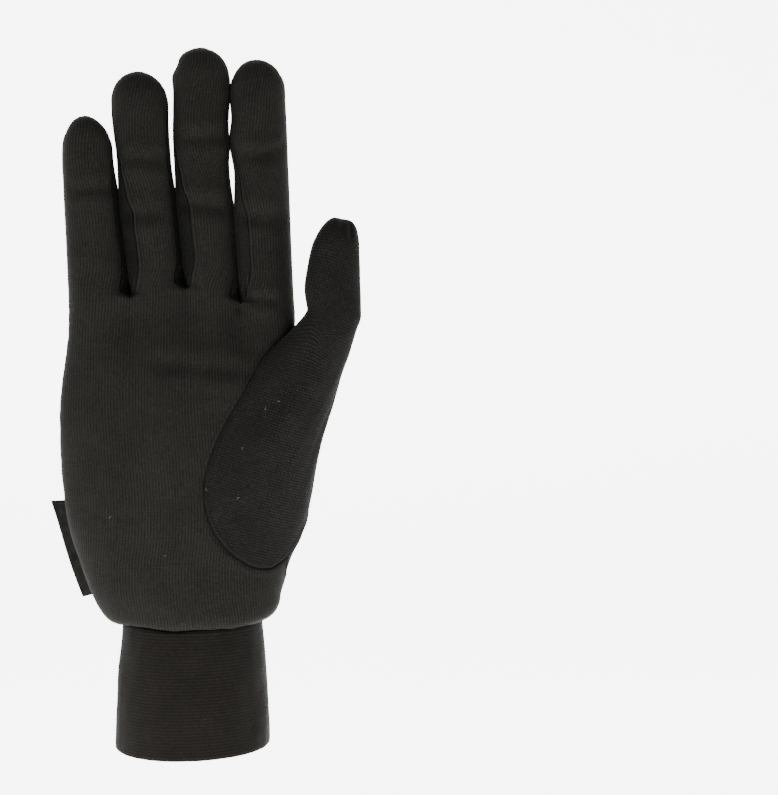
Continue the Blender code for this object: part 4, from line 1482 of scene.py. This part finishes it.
def shape_thumb(points):
    """Draw up the web between thumb and index finger, and set the thumb's sides and its end."""
    points = points.copy()
    x, z = points[:, 0] / MM, points[:, 2] / MM
    pull = np.exp(-((x - WEB_PLACE[0]) / WEB_REACH[0]) ** 2 - ((z - WEB_PLACE[1]) / WEB_REACH[1]) ** 2)
    low_share = rise_from(x, THUMB_SIDE_FROM, THUMB_SIDE_REACH)
    tip_share = rise_from(x, THUMB_TIP_FROM, THUMB_TIP_REACH)
    outer = mix(low_share, tip_share, rise_from(z, THUMB_TIP_HEIGHT, THUMB_TIP_BLEND))
    move = outer * np.interp(z, *zip(*THUMB_OUTER)) + (1.0 - outer) * np.interp(z, *zip(*THUMB_INNER))
    on_thumb = rise_from(x, THUMB_FROM, THUMB_FROM_REACH)
    near_top = rise_from(z, THUMB_TOP_FROM, THUMB_TOP_REACH)
    points[:, 0] += WEB_OUT * MM * pull + MM * on_thumb * move
    points[:, 2] += MM * near_top * np.interp(x, *zip(*THUMB_TOP)) * on_thumb
    points[:, 2] += WEB_LIFT * MM * pull
    return points


def place_piece(piece, node):
    """Put a piece in its solid's place, on the glove's one body."""
    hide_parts(node)
    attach(piece, "root")


def build_glove():
    knits = {name: knit_material(name) for name in KNITS}
    skin = build_skin()
    points = np.array([tuple(point) for point in skin.points])
    corners = corner_table(skin.faces)
    points = lift_hem(shape_thumb(points))
    normals = vertex_normals(points, corners)
    edges = seam_edges(skin)
    edges += [(a, b) for a, b in zip(skin.bottom, skin.bottom[1:] + skin.bottom[:1])]
    seam = seam_distances(points, normals, edges)
    on_strip = np.zeros(len(points))
    for face, panel in zip(skin.faces, skin.panels):
        if LITTLE_RING <= panel <= MIDDLE_INDEX:
            on_strip[list(face)] = 1.0
    points = points + normals * relief(points, normals, seam, on_strip)[:, None] * MM
    normals = vertex_normals(points, corners)
    for panel, (node, knit) in PANELS.items():
        place_piece(panel_piece(skin, panel, node, points, normals, seam, knits[knit]), node)
    lint = plain_material("lint", LINT_COLOUR, PLAIN_ROUGHNESS, 0.0)
    for name, side in (("palm_lint", -1), ("back_lint", 1)):
        tubes, tube_faces = fibre_tubes(points, normals, side)
        fibres = add_piece(name, tubes, tube_faces, [(0.0, 0.0, FAR_FROM_SEAM)] * len(tubes), lint)
        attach(fibres, "root")
    place_piece(cuff_piece(knits["cuff knit"]), "cuff")
    place_piece(label_piece(label_material()), "label")


# Studio: a pale sweep far behind and below the glove, a near-white surround and soft lamps
FLOOR_Z = -0.300
SWEEP_BACK = 1.60
SWEEP_RADIUS = 0.50
SWEEP_WIDTH = 6.0
SWEEP_FRONT = -2.5
SWEEP_HEIGHT = 3.0
SWEEP_GLOW = 3.4
SWEEP_COLOUR = (0.92, 0.92, 0.92)
SWEEP_STEPS = 16
SURROUND_STRENGTH = 2.1

LAMPS = [
    # name, place, aim, size, power
    ("low_front_lamp", (-0.05, -0.25, -0.13), (0.0, 0.0, 0.12), (0.30, 0.10), 5.6),
    ("low_back_lamp", (0.05, 0.25, -0.13), (0.0, 0.0, 0.12), (0.30, 0.10), 4.6),
    ("left_lamp", (-1.1, -0.35, 0.05), (0.0, 0.0, 0.13), (0.4, 0.6), 15.0),
    ("right_lamp", (1.1, -0.25, 0.05), (0.0, 0.0, 0.13), (0.4, 0.6), 14.0),
]

CAMERA_PLACE = (0.007, -0.450, 0.126)
CAMERA_YAW = 8.23
CAMERA_LENS = 55.2
CAMERA_CLIP = 0.01


def add_sweep():
    profile = [(SWEEP_FRONT, FLOOR_Z)]
    for step in range(SWEEP_STEPS + 1):
        turn = math.pi / 2 * step / SWEEP_STEPS
        profile.append((SWEEP_BACK - SWEEP_RADIUS + SWEEP_RADIUS * math.sin(turn),
                        FLOOR_Z + SWEEP_RADIUS * (1.0 - math.cos(turn))))
    profile.append((SWEEP_BACK, SWEEP_HEIGHT))
    points = [(side * SWEEP_WIDTH / 2, y, z) for y, z in profile for side in (-1.0, 1.0)]
    faces = [(2 * k, 2 * k + 1, 2 * k + 3, 2 * k + 2) for k in range(len(profile) - 1)]
    mesh = bpy.data.meshes.new("sweep")
    mesh.from_pydata(points, [], faces)
    mesh.shade_smooth()
    mesh.materials.append(plain_material("pale sweep", SWEEP_COLOUR, PLAIN_ROUGHNESS, SWEEP_GLOW))
    add_object("sweep", mesh)


def add_lamp(name, place, aim, size, power):
    data = bpy.data.lights.new(name, "AREA")
    data.shape = "RECTANGLE"
    data.size, data.size_y = size
    data.energy = power
    lamp = add_object(name, data)
    lamp.location = place
    lamp.rotation_euler = (Vector(aim) - Vector(place)).to_track_quat("-Z", "Y").to_euler()


def add_surround():
    world = bpy.data.worlds.new("studio")
    bpy.context.scene.world = world
    world.use_nodes = True
    background = world.node_tree.nodes["Background"]
    background.inputs["Color"].default_value = (1.0, 1.0, 1.0, 1.0)
    background.inputs["Strength"].default_value = SURROUND_STRENGTH


def add_camera():
    data = bpy.data.cameras.new("camera")
    data.lens = CAMERA_LENS
    data.clip_start = CAMERA_CLIP
    camera = add_object("camera", data)
    camera.location = CAMERA_PLACE
    camera.rotation_euler = (math.pi / 2, 0.0, math.radians(-CAMERA_YAW))
    bpy.context.scene.camera = camera


build_glove()
add_sweep()
add_surround()
for lamp_row in LAMPS:
    add_lamp(*lamp_row)
add_camera()
